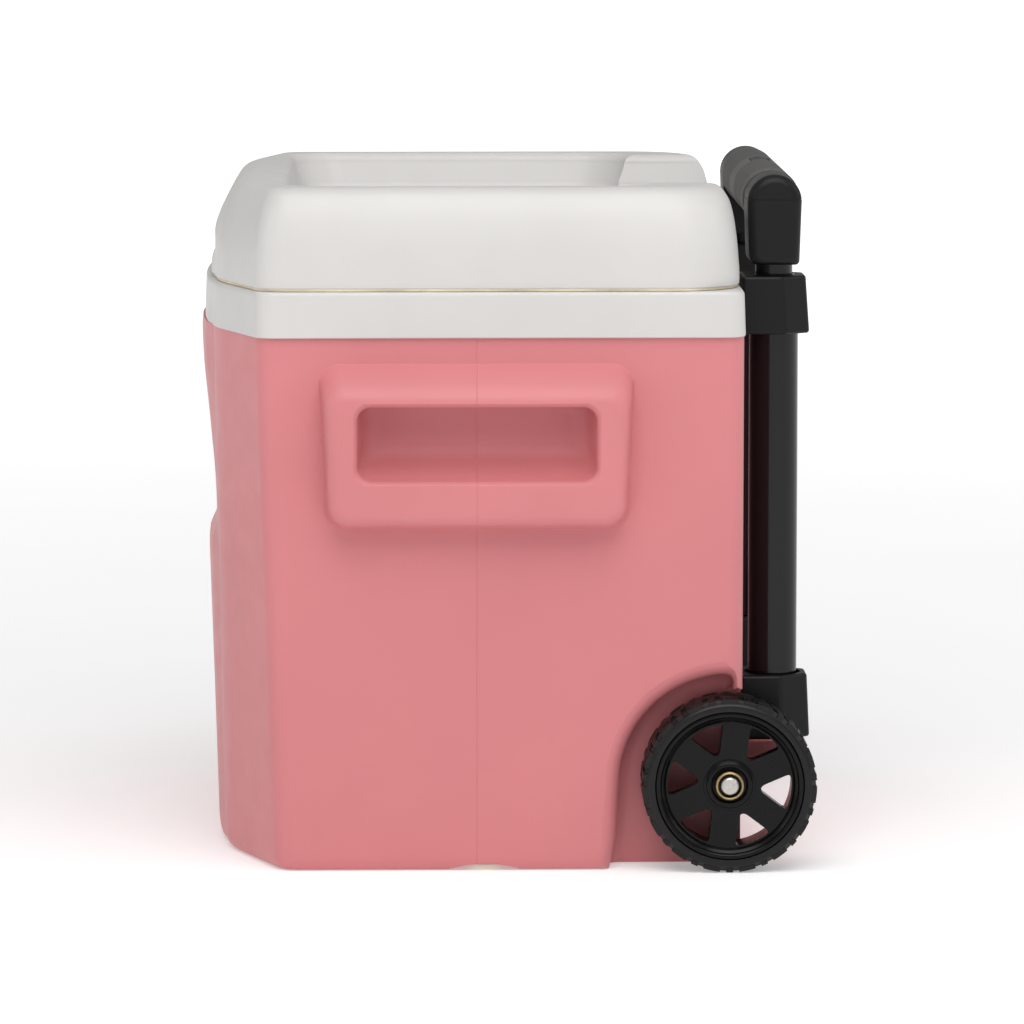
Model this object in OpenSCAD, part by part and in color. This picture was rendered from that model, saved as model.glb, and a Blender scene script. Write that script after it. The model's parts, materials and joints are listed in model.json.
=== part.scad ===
// Hard cooler on two wheels with a lift-off tray lid and a two-stage telescopic handle.
// X runs along the length, -Y is the front, +Y the back with handle and wheels, +Z is up.
// The origin is on the ground, under the middle of the overall box.

/* [Body] */
// Length of the pink body at its top
body_length = 432; // [360:1:520]
// Depth of the body and rim, front to back
body_depth = 341; // [300:1:410]
// Height of the rim's top face above the ground
rim_top = 373.5; // [310:0.5:446]
// Height of the white rim band
rim_height = 29.5; // [22:0.5:36]
// How far the rim stands out past the body at each end
rim_overhang = 2; // [1:0.5:4]
// Wall of the outer shell
shell_wall = 3; // [2:0.1:3.8]
// Inward lean of each end from the rim to the floor
end_draft = 6; // [2:0.5:10]
// Length of the slanted front corners along X
corner_length = 92; // [70:1:110]
// Depth of the slanted front corners along Y
corner_depth = 32; // [22:1:40]

/* [Food box] */
// Wall of the white inner box
liner_wall = 3; // [2:0.1:3.6]
// Foam and walls between the food box and each end, at the top
end_insulation = 48; // [44:1:58]
// Foam and walls between the food box and the front
front_insulation = 32; // [28:1:42]
// Foam and walls between the food box and the back
back_insulation = 39; // [36:1:50]
// Height of the food box floor above the ground
floor_height = 40; // [30:1:50]
// Inward lean of the food box walls from top to floor
box_draft = 6; // [3:0.5:8]

/* [Lid] */
// Height of the lid, without its plug
lid_height = 63.7; // [53:0.1:76.5]
// Depth of the tray in the lid
tray_depth = 26; // [18:0.5:31]
// Thickness of the seal between lid and rim
seal_height = 1.5; // [1:0.1:2]
// How far the plug under the lid reaches into the food box
plug_depth = 8; // [5:0.5:12]

/* [End handles] */
// How far each end handle stands out from the body
boss_reach = 22; // [18:0.5:26]
// Width of each end handle
boss_width = 201; // [165:1:240]
// How far each end handle's top edge lies below the rim band
boss_drop = 15; // [10:0.5:40]
// Width of the hand pocket
pocket_width = 152; // [126:1:160]
// Height of the hand pocket's mouth
pocket_height = 47; // [39:1:57]

/* [Wheels] */
// Radius of the wheels over the tread
wheel_radius = 56; // [47:0.5:60]
// Width of the wheels
wheel_width = 38; // [32:0.5:40]
// Radius of the axle rod
axle_radius = 5.65; // [4.7:0.05:6]
// Free space between tyre and wheel arch
arch_gap = 14; // [10:0.5:16]

/* [Telescopic handle] */
// Distance from the middle to each handle tube along X
tube_x = 143; // [120:1:146]
// Distance from the body's back to the tube axis
tube_stand_off = 22.5; // [21:0.5:26]
// Outer radius of the fixed tubes
tube_radius = 15.8; // [14.5:0.1:16.2]
// Wall of the fixed tubes
tube_wall = 1.55; // [1.2:0.05:1.6]
// Sliding gap between one tube and the next
slide_gap = 0.1; // [0.05:0.01:0.1]
// Travel of each of the two stages
stage_travel = 240; // [150:1:250]
// Radius of the ribbed grip over its ribs
grip_radius = 18.6; // [16.5:0.1:19]

/* [Hidden] */
$fn = 64;

pink = [0.85, 0.54, 0.55];
white = [0.86, 0.86, 0.85];
black = [0.14, 0.14, 0.15];
gloss_black = [0.08, 0.07, 0.08];
steel = [0.62, 0.61, 0.58];
brass = [0.72, 0.56, 0.30];
foam_yellow = [0.93, 0.88, 0.66];

// Body faces
front_y = -body_depth / 2 + 0.5;
back_y = body_depth / 2 + 0.5;
rim_bottom = rim_top - rim_height;
half_body = body_length / 2;
half_rim = half_body + rim_overhang;
foot_radius = 10;
seat_gap = 0.2;
eps = 0.05;

// Wheel and axle places
wheel_y = back_y - 9;
wheel_z = wheel_radius;
wheel_gap = 4;
wheel_outer = half_body + 6;
wheel_inner = wheel_outer - wheel_width;
well_x = wheel_inner - wheel_gap;
well_radius = wheel_radius + arch_gap;
axle_fit = 0.1;
tunnel_radius = back_y - wheel_y;
tyre_depth = 8;

// The origin lies midway between the front and the tyres' backs
front_swell = 10;
origin_y = (front_y - front_swell + wheel_y + wheel_radius) / 2;

// Food box
box_x = half_body - end_insulation;
box_front = front_y + front_insulation;
box_back = back_y - back_insulation;
box_corner = 28;

// End handle and hand pocket levels
boss_top = rim_bottom - boss_drop;
boss_bottom = boss_top - pocket_height - 59.5;
pocket_top = boss_top - 27.5;
pocket_bottom = pocket_top - pocket_height;

// Lid levels
lid_bottom = rim_top + seal_height;
lid_top = lid_bottom + lid_height;
lid_wall = 3;
tray_floor = lid_top - tray_depth;

// Handle levels
tube_y = back_y + tube_stand_off;
shelf_top = 78;
bracket_low_top = shelf_top + 41.5;
bracket_high_bottom = rim_bottom - 2.5;
bracket_high_top = rim_top + 5.5;
tube_bottom = shelf_top + 4;
tube_top = bracket_high_top - 2.3;
mid_radius = tube_radius - tube_wall - slide_gap;
mid_wall = 2.05;
inner_radius = mid_radius - mid_wall - slide_gap;
inner_wall = 1.5;
grip_y = tube_y - 1;
cap_radius = 17.6;
grip_z = lid_top - 11.8;
cap_bottom = bracket_high_top + 7.1;
inner_top = grip_z - 19;
core_radius = 12;
cap_inner = tube_x - 21;
cap_outer = tube_x + 25;
core_half = tube_x - 14;
button_travel = 4;
button_bottom = grip_z + 4;
spring_seat = grip_z - 7.3;
pin_z = tube_bottom + 16;
lock_hole_radius = 3;

// Screws through the brackets
screw_radius = 2;
screw_head = 3.6;
screw_side = tube_radius + 3.7;
screw_seat = tube_y + 6;
screw_length = tube_stand_off + 15.5;
bracket_half = screw_side + 4.5;
bracket_reach_low = tube_radius + 6.2;
bracket_reach_high = tube_radius + 4.2;
low_screw_z = (shelf_top + bracket_low_top) / 2;
high_screw_z = rim_bottom + 14;
screw_rise = 8.5;

// ---- Outlines and skins -------------------------------------------------------------

// Points on an arc, clockwise when a0 > a1
function arc(cx, cy, r, a0, a1, n) =
    [for (i = [0:n]) let (a = a0 + (a1 - a0) * i / n) [cx + r * cos(a), cy + r * sin(a)]];

// A soft corner at b, starting d before it and ending d after it
function soft_corner(a, b, c, d, n = 3) =
    let (u = (a - b) / norm(a - b), v = (c - b) / norm(c - b))
    [for (i = [0:n]) let (t = i / n) b + u * d * (1 - t) * (1 - t) + v * d * t * t];

// Half of the plan outline, from the back round the +X end to the middle of the front.
// hl: half length, yb: back, yc: corner crease on the end, yv: vertex on the front,
// yf: middle of the front, cl: corner length, rr: rear corner radius
function half_plan(hl, yb, yc, yv, yf, cl, rr) =
    let (xv = hl - cl)
    concat(
        arc(hl - rr, yb - rr, rr, 90, 0, 6),
        soft_corner([hl, yb], [hl, yc], [xv, yv], 9),
        soft_corner([hl, yc], [xv, yv], [0, yv], 16),
        [for (s = [0.66, 0.44, 0.22]) [xv * s, yf + (yv - yf) * s * s]]
    );

function plan(hl, yb, yc, yv, yf, cl, rr) =
    let (h = half_plan(hl, yb, yc, yv, yf, cl, rr))
    concat(h, [[0, yf]], [for (i = [len(h) - 1:-1:0]) [-h[i][0], h[i][1]]]);

// Rounded rectangle outline, clockwise
function round_rect(x0, x1, y0, y1, r, n = 5) = concat(
    arc(x1 - r, y1 - r, r, 90, 0, n), arc(x1 - r, y0 + r, r, 0, -90, n),
    arc(x0 + r, y0 + r, r, -90, -180, n), arc(x0 + r, y1 - r, r, 180, 90, n));

function at_z(outline, z) = [for (p = outline) [p[0], p[1], z]];
function at_x(outline, x) = [for (p = outline) [x, p[0], p[1]]];

// A closed solid through rings of equal count
module skin(rings) {
    n = len(rings[0]);
    last = len(rings) - 1;
    sides = [for (k = [0:last - 1], i = [0:n - 1]) let (j = (i + 1) % n)
        each [[k * n + i, k * n + j, (k + 1) * n + j], [k * n + i, (k + 1) * n + j, (k + 1) * n + i]]];
    polyhedron(
        points = [for (ring = rings) each ring],
        faces = concat([[for (i = [n - 1:-1:0]) i]], sides, [[for (i = [0:n - 1]) last * n + i]]),
        convexity = 6);
}

module extrude_x(x0, x1) {
    translate([x0, 0, 0]) rotate([90, 0, 90]) linear_extrude(x1 - x0) children();
}

module extrude_y(y0, y1) {
    translate([0, y1, 0]) rotate([90, 0, 0]) linear_extrude(y1 - y0) children();
}

module rod_x(x0, x1, r) {
    translate([x0, 0, 0]) rotate([0, 90, 0]) cylinder(h = x1 - x0, r = r);
}

module rod_y(y0, y1, r) {
    translate([0, y0, 0]) rotate([-90, 0, 0]) cylinder(h = y1 - y0, r = r);
}

module both_ends() {
    children();
    mirror([1, 0, 0]) children();
}

module place() {
    translate([0, -origin_y, 0]) children();
}

// ---- Body forms ---------------------------------------------------------------------

// How far the middle of the front stands out at a share of the height
function swell(s) = lookup(s, [[0, 0], [0.09, 1], [0.555, 6], [0.575, 5.5], [0.615, 0.5],
    [0.63, 0], [0.97, front_swell], [1, front_swell]]);

// Inset of the rounded bottom edge
function foot_inset(z) = z >= foot_radius ? 0
    : foot_radius - sqrt(foot_radius * foot_radius - pow(foot_radius - z, 2));

// Outline of the body at height z, moved inward by t
function body_outline(z, t) =
    let (s = min(1, z / rim_bottom), up = 1 - s, e = foot_inset(z) * 0.6 + t)
    plan(half_body - end_draft * up - e, back_y - e, front_y + corner_depth + 11 * up + 0.71 * e,
        front_y + 6 * up + e, front_y - swell(s) + e, corner_length - 0.83 * e, max(6, 14 - t));

module body_form(t, z0, z1) {
    levels = concat([z0], [for (z = [1, 3.5, foot_radius]) if (z > z0 + 0.4) z],
        [for (s = [0.09, 0.3, 0.555, 0.575, 0.615, 0.63, 0.8, 0.97]) s * rim_bottom], [z1]);
    skin([for (z = levels) at_z(body_outline(z, t), z)]);
}

// Raised block around a hand pocket, on the +X end
module boss_form(t) {
    y0 = -boss_width / 2;
    y1 = boss_width / 2;
    z0 = boss_bottom;
    face = half_body + boss_reach;
    step = [[half_body - 12, 0, 0, 0], [half_body - 1, 0, 0, 0], [face - 3.5, 2, 2, 18],
        [face - 1, 3.5, 3.5, 20], [face, 6, 6, 22.5]];
    skin([for (s = step)
        at_x(round_rect(y0 + s[1] + t, y1 - s[1] - t, z0 + s[2] + t, boss_top - s[3] - t, 11), s[0]
            - (s[0] > half_body ? t : 0))]);
}

// Hand pocket in the +X end, undercut upward behind its lip
module pocket(grow) {
    z0 = pocket_bottom;
    z1 = pocket_top;
    deep = half_body - 13;
    lip = half_body + boss_reach - 11;
    extrude_x(lip - 1, half_body + boss_reach + 12)
        offset(r = grow) translate([-pocket_width / 2, z0]) rounded_square(pocket_width, pocket_height, 8);
    intersection() {
        extrude_x(deep - grow, lip)
            offset(r = grow) translate([-pocket_width / 2, z0]) rounded_square(pocket_width, pocket_height + 16, 8);
        extrude_y(-boss_width / 2, boss_width / 2)
            offset(delta = grow) polygon([[deep, z1 + 4], [deep, z0 + 17], [deep + 4, z0 + 9], [lip, z0],
                [lip, z1], [lip - 4, z1 + 4], [lip - 5, z1 + 11], [lip - 11, z1 + 14], [deep + 5, z1 + 12]]);
    }
}

module rounded_square(w, h, r) {
    polygon(round_rect(0, w, 0, h, r));
}

// Space for the +X wheel, open to the end, the ground and, at wheel height, the back
module wheel_well(grow) {
    r = well_radius + grow;
    arch_back = back_y - 2 * shell_wall + grow;
    back_top = wheel_z + wheel_radius + wheel_gap + grow;
    extrude_x(well_x - grow, wheel_outer + 40) {
        difference() {
            translate([wheel_y, wheel_z]) circle(r = r);
            translate([arch_back, wheel_z]) square([2 * r, 2 * r]);
        }
        translate([wheel_y - r, -20]) square([r + 80, wheel_z + 20]);
        translate([wheel_y, -20]) square([80, back_top + 20]);
    }
}

// Ledge across the back that carries the lower brackets
module shelf_form(t) {
    extrude_x(-(well_x - 5) + t, well_x - 5 - t)
        polygon([[back_y - 8, shelf_top - 24 + t], [tube_y - 3, shelf_top - 24 + t],
            [tube_y + 4.5 - t, shelf_top - 14], [tube_y + 4.5 - t, shelf_top - 4],
            [tube_y + 1.5 - t, shelf_top - t], [back_y - 8, shelf_top - t]]);
}

module axle_path(r) {
    translate([0, wheel_y, wheel_z]) rod_x(-wheel_outer - 2, wheel_outer + 2, r);
}

// Holes for all eight bracket screws
module screw_holes(r) {
    at_screws() rod_y(screw_seat - screw_length - 4, screw_seat + eps, r);
}

module at_screws() {
    for (side = [-1, 1], z = [low_screw_z, high_screw_z], up = [-1, 1])
        translate([side * (tube_x - screw_side), 0, z + up * screw_rise]) children();
}

// Everything inside the shell's walls: filled with foam
module shell_inside(t) {
    difference() {
        union() {
            body_form(t, 3.5 + t - shell_wall, rim_bottom + (t > shell_wall ? -seat_gap : 1));
            both_ends() boss_form(t);
            shelf_form(t);
        }
        both_ends() {
            pocket(t);
            wheel_well(t);
            translate([half_body - 40, -40, 0]) cube([60, 90, 8 + t - shell_wall]);
        }
        axle_path(tunnel_radius + t - shell_wall);
    }
}

module box_form(t, z0, z1) {
    levels = [[z0, 14, box_draft + 6], [z0 + 4, 18, box_draft + 2], [z0 + 12, 22, box_draft],
        [z1, box_corner, 0]];
    skin([for (v = levels)
        at_z(round_rect(-box_x + v[2] - t, box_x - v[2] + t, box_front + v[2] - t, box_back - v[2] + t, v[1]),
            v[0])]);
}

// ---- Body parts ---------------------------------------------------------------------

module outer_shell() {
    color(pink) place() difference() {
        union() {
            body_form(0, 0, rim_bottom - eps);
            both_ends() boss_form(0);
            shelf_form(0);
        }
        shell_inside(shell_wall);
        both_ends() {
            pocket(0);
            wheel_well(0);
        }
        axle_path(axle_radius + axle_fit);
        // shallow arch in each end's bottom edge
        both_ends() translate([0, 5, -70]) rod_x(half_body - 30, half_body + 5, 74);
        screw_holes(screw_radius);
    }
}

module foam_core() {
    color(foam_yellow) place() difference() {
        union() {
            shell_inside(shell_wall + seat_gap);
            skin([for (z = [rim_bottom - 5, rim_top - 3 - seat_gap])
                at_z(body_outline(rim_bottom, shell_wall + seat_gap), z)]);
        }
        box_form(liner_wall + seat_gap, floor_height - liner_wall - seat_gap, rim_top + 5);
        screw_holes(screw_radius + seat_gap);
    }
}

// Outline of the rim and lid edge, moved inward by t
function rim_outline(t, back = back_y, rr = 14) =
    plan(half_rim - t, back - t, front_y + corner_depth + 0.71 * t, front_y + t,
        front_y - 7 + t, corner_length - 0.83 * t, rr);

module inner_liner() {
    rim_profile = [[rim_bottom, -0.6], [rim_bottom + 2, -0.8], [rim_top - 5, 0], [rim_top - 1.5, 0.5],
        [rim_top, 1.8]];
    color(white) place() difference() {
        union() {
            difference() {
                skin([for (v = rim_profile) at_z(rim_outline(v[1]), v[0])]);
                skin([for (z = [rim_bottom - 3, rim_top - 3]) at_z(body_outline(rim_bottom, shell_wall), z)]);
            }
            box_form(liner_wall, floor_height - liner_wall, rim_top - 1);
        }
        box_form(0, floor_height, rim_top + 1);
        screw_holes(screw_radius);
    }
}

// ---- Lid ----------------------------------------------------------------------------

// Lid profile by share of its height: insets of end, back, slanted corner, and front reach
function lid_outline(z, t) =
    let (s = (z - lid_bottom) / lid_height,
        e = lookup(s, [[0, 0.5], [0.45, 2], [0.68, 5], [0.87, 9.5], [0.94, 12.5], [1, 17]]) + t,
        b = lookup(s, [[0, 3.5], [0.6, 5], [0.87, 8.5], [0.94, 11.5], [1, 16]]) + t,
        v = lookup(s, [[0, 1], [0.3, 1.5], [0.68, 7], [0.87, 12.5], [0.94, 16], [1, 20]]) + t,
        f = lookup(s, [[0, 6], [0.12, 5], [0.24, 0], [0.4, 1], [0.68, -5], [0.87, -12],
            [0.94, -15], [1, -19]]) - t)
    plan(half_rim - e, back_y - b, front_y + corner_depth + v * 0.5, front_y + v, front_y - f,
        corner_length, 40);

module lid_form(t, z0, z1) {
    skin([for (z = concat([z0], [for (s = [0.12, 0.24, 0.4, 0.55, 0.68, 0.78, 0.87, 0.94])
        if (lid_bottom + s * lid_height < z1 - 0.5) lid_bottom + s * lid_height], [z1]))
        at_z(lid_outline(z, t), z)]);
}

// Tray sunk in the lid, and the narrower scoop behind it that opens to the back
module tray_form(grow) {
    tray_x = half_rim - 38;
    tray_front = front_y + 50;
    tray_back = back_y - 63;
    scoop_x = tray_x - 30;
    skin([for (v = [[tray_floor - grow, 6, 16], [tray_floor + 3, 3.5, 20], [lid_top - 2.5, 0.5, 24],
        [lid_top + 1, -2.5, 26]])
        at_z(round_rect(-tray_x + v[1] - grow, tray_x - v[1] + grow, tray_front + v[1] - grow,
            tray_back - v[1] + grow, v[2]), v[0])]);
    skin([for (v = [[tray_floor + 1.5 - grow, 5], [lid_top - 2.5, 0], [lid_top + 1, -3]])
        at_z(round_rect(-scoop_x + v[1] - grow, scoop_x - v[1] + grow, tray_back - 60, back_y + 30, 20),
            v[0])]);
}

module lid_shell() {
    color(white) place() difference() {
        lid_form(0, lid_bottom, lid_top);
        tray_form(0);
        difference() {
            lid_form(lid_wall, lid_bottom - 1, lid_top - lid_wall);
            tray_form(lid_wall);
        }
    }
}

module lid_foam() {
    color(foam_yellow) place() difference() {
        lid_form(lid_wall + seat_gap, lid_bottom + lid_wall + seat_gap, lid_top - lid_wall - seat_gap);
        tray_form(lid_wall + seat_gap);
    }
}

module lid_pan() {
    plug = liner_wall + 2;
    color(white) place() {
        skin([for (z = [lid_bottom, lid_bottom + lid_wall]) at_z(lid_outline(z, lid_wall + 0.1), z)]);
        difference() {
            skin([for (z = [lid_bottom - seal_height - plug_depth, lid_bottom + eps])
                at_z(round_rect(-box_x + plug, box_x - plug, box_front + plug, box_back - plug,
                    box_corner - 5), z)]);
            skin([for (z = [lid_bottom - seal_height - plug_depth - 1, lid_bottom - 0.5])
                at_z(round_rect(-box_x + plug + 3, box_x - plug - 3, box_front + plug + 3,
                    box_back - plug - 3, box_corner - 8), z)]);
        }
    }
}

module lid_seal() {
    color(black) place() difference() {
        translate([0, 0, rim_top + eps]) linear_extrude(seal_height - eps)
            polygon(round_rect(-box_x - 9, box_x + 9, box_front - 9, box_back + 9, box_corner + 9));
        translate([0, 0, rim_top - 1]) linear_extrude(seal_height + 2)
            polygon(round_rect(-box_x - 3, box_x + 3, box_front - 3, box_back + 3, box_corner + 3));
    }
}

// ---- Wheels -------------------------------------------------------------------------

// Puts a part drawn with its axis on Z, inner face at 0, onto the +X end of the axle
module on_axle() {
    translate([wheel_inner, wheel_y, wheel_z]) rotate([0, 90, 0]) children();
}

// One of the six rounded windows between the spokes
module spoke_window(r0, r1) {
    half_spoke = 8.5;
    offset(r = 4) offset(delta = -4) intersection() {
        difference() {
            circle(r = r1);
            circle(r = r0);
        }
        translate([half_spoke / sin(30), 0]) polygon([[0, 0], [60, 60 * tan(30)], [60, -60 * tan(30)]]);
    }
}

module wheel_rim() {
    rim_r = wheel_radius - tyre_depth;
    face = wheel_width - 6;
    difference() {
        union() {
            // barrel and lips
            rotate_extrude() polygon([[rim_r - 7, 1.5], [rim_r, 1.5], [rim_r, wheel_width - 2],
                [rim_r - 2, wheel_width - 0.5], [rim_r - 5.5, wheel_width - 1], [rim_r - 7.5, wheel_width - 6]]);
            // spoked web
            translate([0, 0, face - 12]) difference() {
                cylinder(h = 12, r = rim_r - 5);
                for (k = [0:5]) rotate([0, 0, 173 + 30 + 60 * k])
                    translate([0, 0, -1]) linear_extrude(14) spoke_window(20, rim_r - 8);
            }
            // hub
            translate([0, 0, -1.5]) cylinder(h = face + 1.5, r = 14);
            translate([0, 0, face - 0.5]) difference() {
                cylinder(h = 2.5, r = 14);
                cylinder(h = 3, r = 11);
            }
        }
        translate([0, 0, -10]) cylinder(h = wheel_width + 20, r = axle_radius + axle_fit);
    }
}

module tyre() {
    inner_r = wheel_radius - tyre_depth + eps;
    lugs = 15;
    lug_gap = 0.18 * wheel_radius;
    root = wheel_radius - 1.9;
    middle = wheel_width / 2;
    difference() {
        rotate_extrude() polygon([[inner_r, 1.5], [wheel_radius - 4, 0.3], [wheel_radius - 1, 3],
            [wheel_radius, 8], [wheel_radius, wheel_width - 8], [wheel_radius - 1, wheel_width - 3],
            [wheel_radius - 4, wheel_width - 0.3], [inner_r, wheel_width - 2.2]]);
        for (k = [0:lugs - 1]) rotate([0, 0, k * 360 / lugs])
            translate([root, -lug_gap / 2, middle]) cube([6, lug_gap, wheel_width]);
        for (k = [0:lugs - 1]) rotate([0, 0, (k + 0.5) * 360 / lugs])
            translate([root, -lug_gap / 2, middle - wheel_width]) cube([6, lug_gap, wheel_width]);
    }
}

module wheel_rim_right() {
    color(black) place() on_axle() wheel_rim();
}

module wheel_rim_left() {
    color(black) place() mirror([1, 0, 0]) on_axle() wheel_rim();
}

module tyre_right() {
    color(gloss_black) place() on_axle() tyre();
}

module tyre_left() {
    color(gloss_black) place() mirror([1, 0, 0]) on_axle() tyre();
}

module axle() {
    color(steel) place() translate([0, wheel_y, wheel_z])
        rod_x(-wheel_outer - 0.5, wheel_outer + 0.5, axle_radius);
}

// Spacer between the well wall and each hub
module axle_washers() {
    color(steel) place() both_ends() translate([0, wheel_y, wheel_z]) difference() {
        rod_x(well_x, wheel_inner - 1.8, 12);
        rod_x(well_x - 1, wheel_inner, axle_radius);
    }
}

// Spring-steel caps that hold the wheels on the axle
module push_nuts() {
    seat = wheel_outer - 6 + 2.3;
    color(brass) place() both_ends() translate([0, wheel_y, wheel_z]) difference() {
        union() {
            rod_x(seat, seat + 1.2, 9.3);
            rod_x(seat, seat + 2.6, 7.4);
        }
        rod_x(seat - 1, seat + 4, axle_radius);
    }
}

// ---- Telescopic handle --------------------------------------------------------------

// A handle tube; lock_z is the height of the hole that takes the next stage's lock pin
module tube(side, z0, z1, r, wall, lock_z = 0) {
    place() translate([side * tube_x, tube_y, 0]) difference() {
        translate([0, 0, z0]) cylinder(h = z1 - z0, r = r);
        translate([0, 0, z0 - 1]) cylinder(h = z1 - z0 + 2, r = r - wall);
        if (lock_z > 0) translate([0, 0, lock_z])
            rod_x(side > 0 ? -r - 1 : 0, side > 0 ? 0 : r + 1, lock_hole_radius);
    }
}

module outer_tube_left() {
    color(gloss_black) tube(-1, tube_bottom, tube_top, tube_radius, tube_wall, pin_z - 2 + stage_travel);
}

module outer_tube_right() {
    color(gloss_black) tube(1, tube_bottom, tube_top, tube_radius, tube_wall, pin_z - 2 + stage_travel);
}

module mid_tube_left() {
    color(gloss_black) tube(-1, tube_bottom + 2, bracket_high_top, mid_radius, mid_wall, pin_z + stage_travel);
}

module mid_tube_right() {
    color(gloss_black) tube(1, tube_bottom + 2, bracket_high_top, mid_radius, mid_wall, pin_z + stage_travel);
}

module inner_tube_left() {
    color(gloss_black) tube(-1, tube_bottom + 4, inner_top, inner_radius, inner_wall);
}

module inner_tube_right() {
    color(gloss_black) tube(1, tube_bottom + 4, inner_top, inner_radius, inner_wall);
}

// Block against the body's back, chamfered behind the tube
module bracket_block(side, z0, z1, reach) {
    translate([side * tube_x, 0, z0]) linear_extrude(z1 - z0)
        polygon([[-bracket_half, back_y + 0.9], [-bracket_half, tube_y + 4], [-12, tube_y + reach],
            [12, tube_y + reach], [bracket_half, tube_y + 4], [bracket_half, back_y + 0.9]]);
}

// Screw holes and the sunk seats for the screw heads
module screw_seats() {
    screw_holes(screw_radius);
    at_screws() rod_y(screw_seat, screw_seat + 30, screw_head + 0.2);
}

module lower_bracket(side) {
    color(black) place() difference() {
        bracket_block(side, shelf_top, bracket_low_top, bracket_reach_low);
        translate([side * tube_x, tube_y, tube_bottom]) cylinder(h = 60, r = tube_radius + eps);
        translate([side * tube_x, tube_y, bracket_low_top - 3]) cylinder(h = 10, r = tube_radius + 2.4);
        screw_seats();
    }
}

module upper_bracket(side) {
    color(black) place() difference() {
        bracket_block(side, bracket_high_bottom, bracket_high_top, bracket_reach_high);
        translate([side * tube_x, tube_y, bracket_high_bottom - 1])
            cylinder(h = tube_top - bracket_high_bottom + 1, r = tube_radius + eps);
        translate([side * tube_x, tube_y, tube_top - 1]) cylinder(h = 20, r = mid_radius + slide_gap);
        screw_seats();
    }
}

module lower_bracket_left() {
    lower_bracket(-1);
}

module lower_bracket_right() {
    lower_bracket(1);
}

module upper_bracket_left() {
    upper_bracket(-1);
}

module upper_bracket_right() {
    upper_bracket(1);
}

// Eight pan-head screws that hold the brackets to the body
module bracket_screws() {
    color(steel) place() at_screws() {
        rod_y(screw_seat - screw_length, screw_seat + eps, screw_radius - eps);
        translate([0, screw_seat, 0]) rotate([-90, 0, 0]) cylinder(h = 2, r1 = screw_head, r2 = screw_head - 1);
    }
}

// Tube under the ribbed cover, with a slot for the button
module grip_core() {
    color(black) place() difference() {
        translate([0, grip_y, grip_z]) difference() {
            rod_x(-core_half, core_half, core_radius);
            rod_x(-core_half - 1, core_half + 1, core_radius - 3.5);
        }
        button_slot();
    }
}

module button_slot() {
    translate([-15.5, grip_y - 6.5, grip_z + 2]) cube([31, 13, 30]);
}

// Soft cover with a groove between each rib and the next
module grip_sleeve() {
    ribs = 34;
    half = cap_inner - 0.1;
    pitch = 2 * half / ribs;
    valley = grip_radius - 1.6;
    outline = concat([[core_radius + eps, -half]],
        [for (k = [0:ribs - 1]) let (z = -half + k * pitch)
            each [[valley, z], [grip_radius, z + pitch * 0.25], [grip_radius, z + pitch * 0.7],
                [valley, z + pitch * 0.95]]],
        [[valley, half], [core_radius + eps, half]]);
    color(black) place() difference() {
        translate([0, grip_y, grip_z]) rotate([0, 90, 0]) rotate_extrude() polygon(outline);
        button_slot();
    }
}

// End cap that joins the ribbed bar to an inner tube
module grip_cap(side) {
    foot = 13.8;
    color(black) place() difference() {
        extrude_x(side > 0 ? cap_inner : -cap_outer, side > 0 ? cap_outer : -cap_inner) {
            translate([grip_y, grip_z]) circle(r = cap_radius);
            polygon([[grip_y - cap_radius, grip_z], [grip_y - cap_radius, grip_z - 18],
                [tube_y - foot, cap_bottom], [tube_y + foot, cap_bottom],
                [grip_y + cap_radius, grip_z - 18], [grip_y + cap_radius, grip_z]]);
        }
        translate([side * tube_x, tube_y, cap_bottom - 1])
            cylinder(h = inner_top - cap_bottom + 1, r = inner_radius + eps);
        translate([0, grip_y, grip_z]) rod_x(-core_half, core_half, core_radius + eps);
    }
}

module grip_cap_left() {
    grip_cap(-1);
}

module grip_cap_right() {
    grip_cap(1);
}

module release_button() {
    color(black) place() translate([-15, grip_y - 6, button_bottom])
        cube([30, 12, grip_z + grip_radius - button_bottom]);
}

// Return spring under the button, clear of it when the button is down
module button_spring() {
    color(steel) place() translate([0, grip_y, spring_seat]) difference() {
        cylinder(h = button_bottom - button_travel - 0.3 - spring_seat, r = 4);
        translate([0, 0, -1]) cylinder(h = 20, r = 3);
    }
}

// Thin rods from the grip down to the lock carriers
module lock_rods() {
    color(steel) place() for (side = [-1, 1])
        translate([side * tube_x, tube_y, tube_bottom + 20])
            cylinder(h = inner_top - tube_bottom - 20, r = 2);
}

// Plugs at the foot of the inner tubes that hold the lock pins, drawn back
module lock_carriers() {
    color(black) place() for (side = [-1, 1])
        translate([side * tube_x, tube_y, tube_bottom + 6]) difference() {
            cylinder(h = 24, r = inner_radius - inner_wall - eps);
            translate([0, 0, 14]) cylinder(h = 20, r = 2 + eps);
        }
}

outer_shell();
foam_core();
inner_liner();
lid_shell();
lid_foam();
lid_pan();
lid_seal();
wheel_rim_left();
wheel_rim_right();
tyre_left();
tyre_right();
axle();
axle_washers();
push_nuts();
outer_tube_left();
outer_tube_right();
mid_tube_left();
mid_tube_right();
inner_tube_left();
inner_tube_right();
upper_bracket_left();
upper_bracket_right();
lower_bracket_left();
lower_bracket_right();
bracket_screws();
grip_core();
grip_sleeve();
grip_cap_left();
grip_cap_right();
release_button();
button_spring();
lock_rods();
lock_carriers();
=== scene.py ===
"""Hard cooler on wheels: finished pieces, materials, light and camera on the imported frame.

Shapes are worked out in millimetres, with Y measured from the middle of the body, and
placed in the frame's metres by at(). X is the length, -Y the front, +Y the back.
"""
import json
import math

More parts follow.
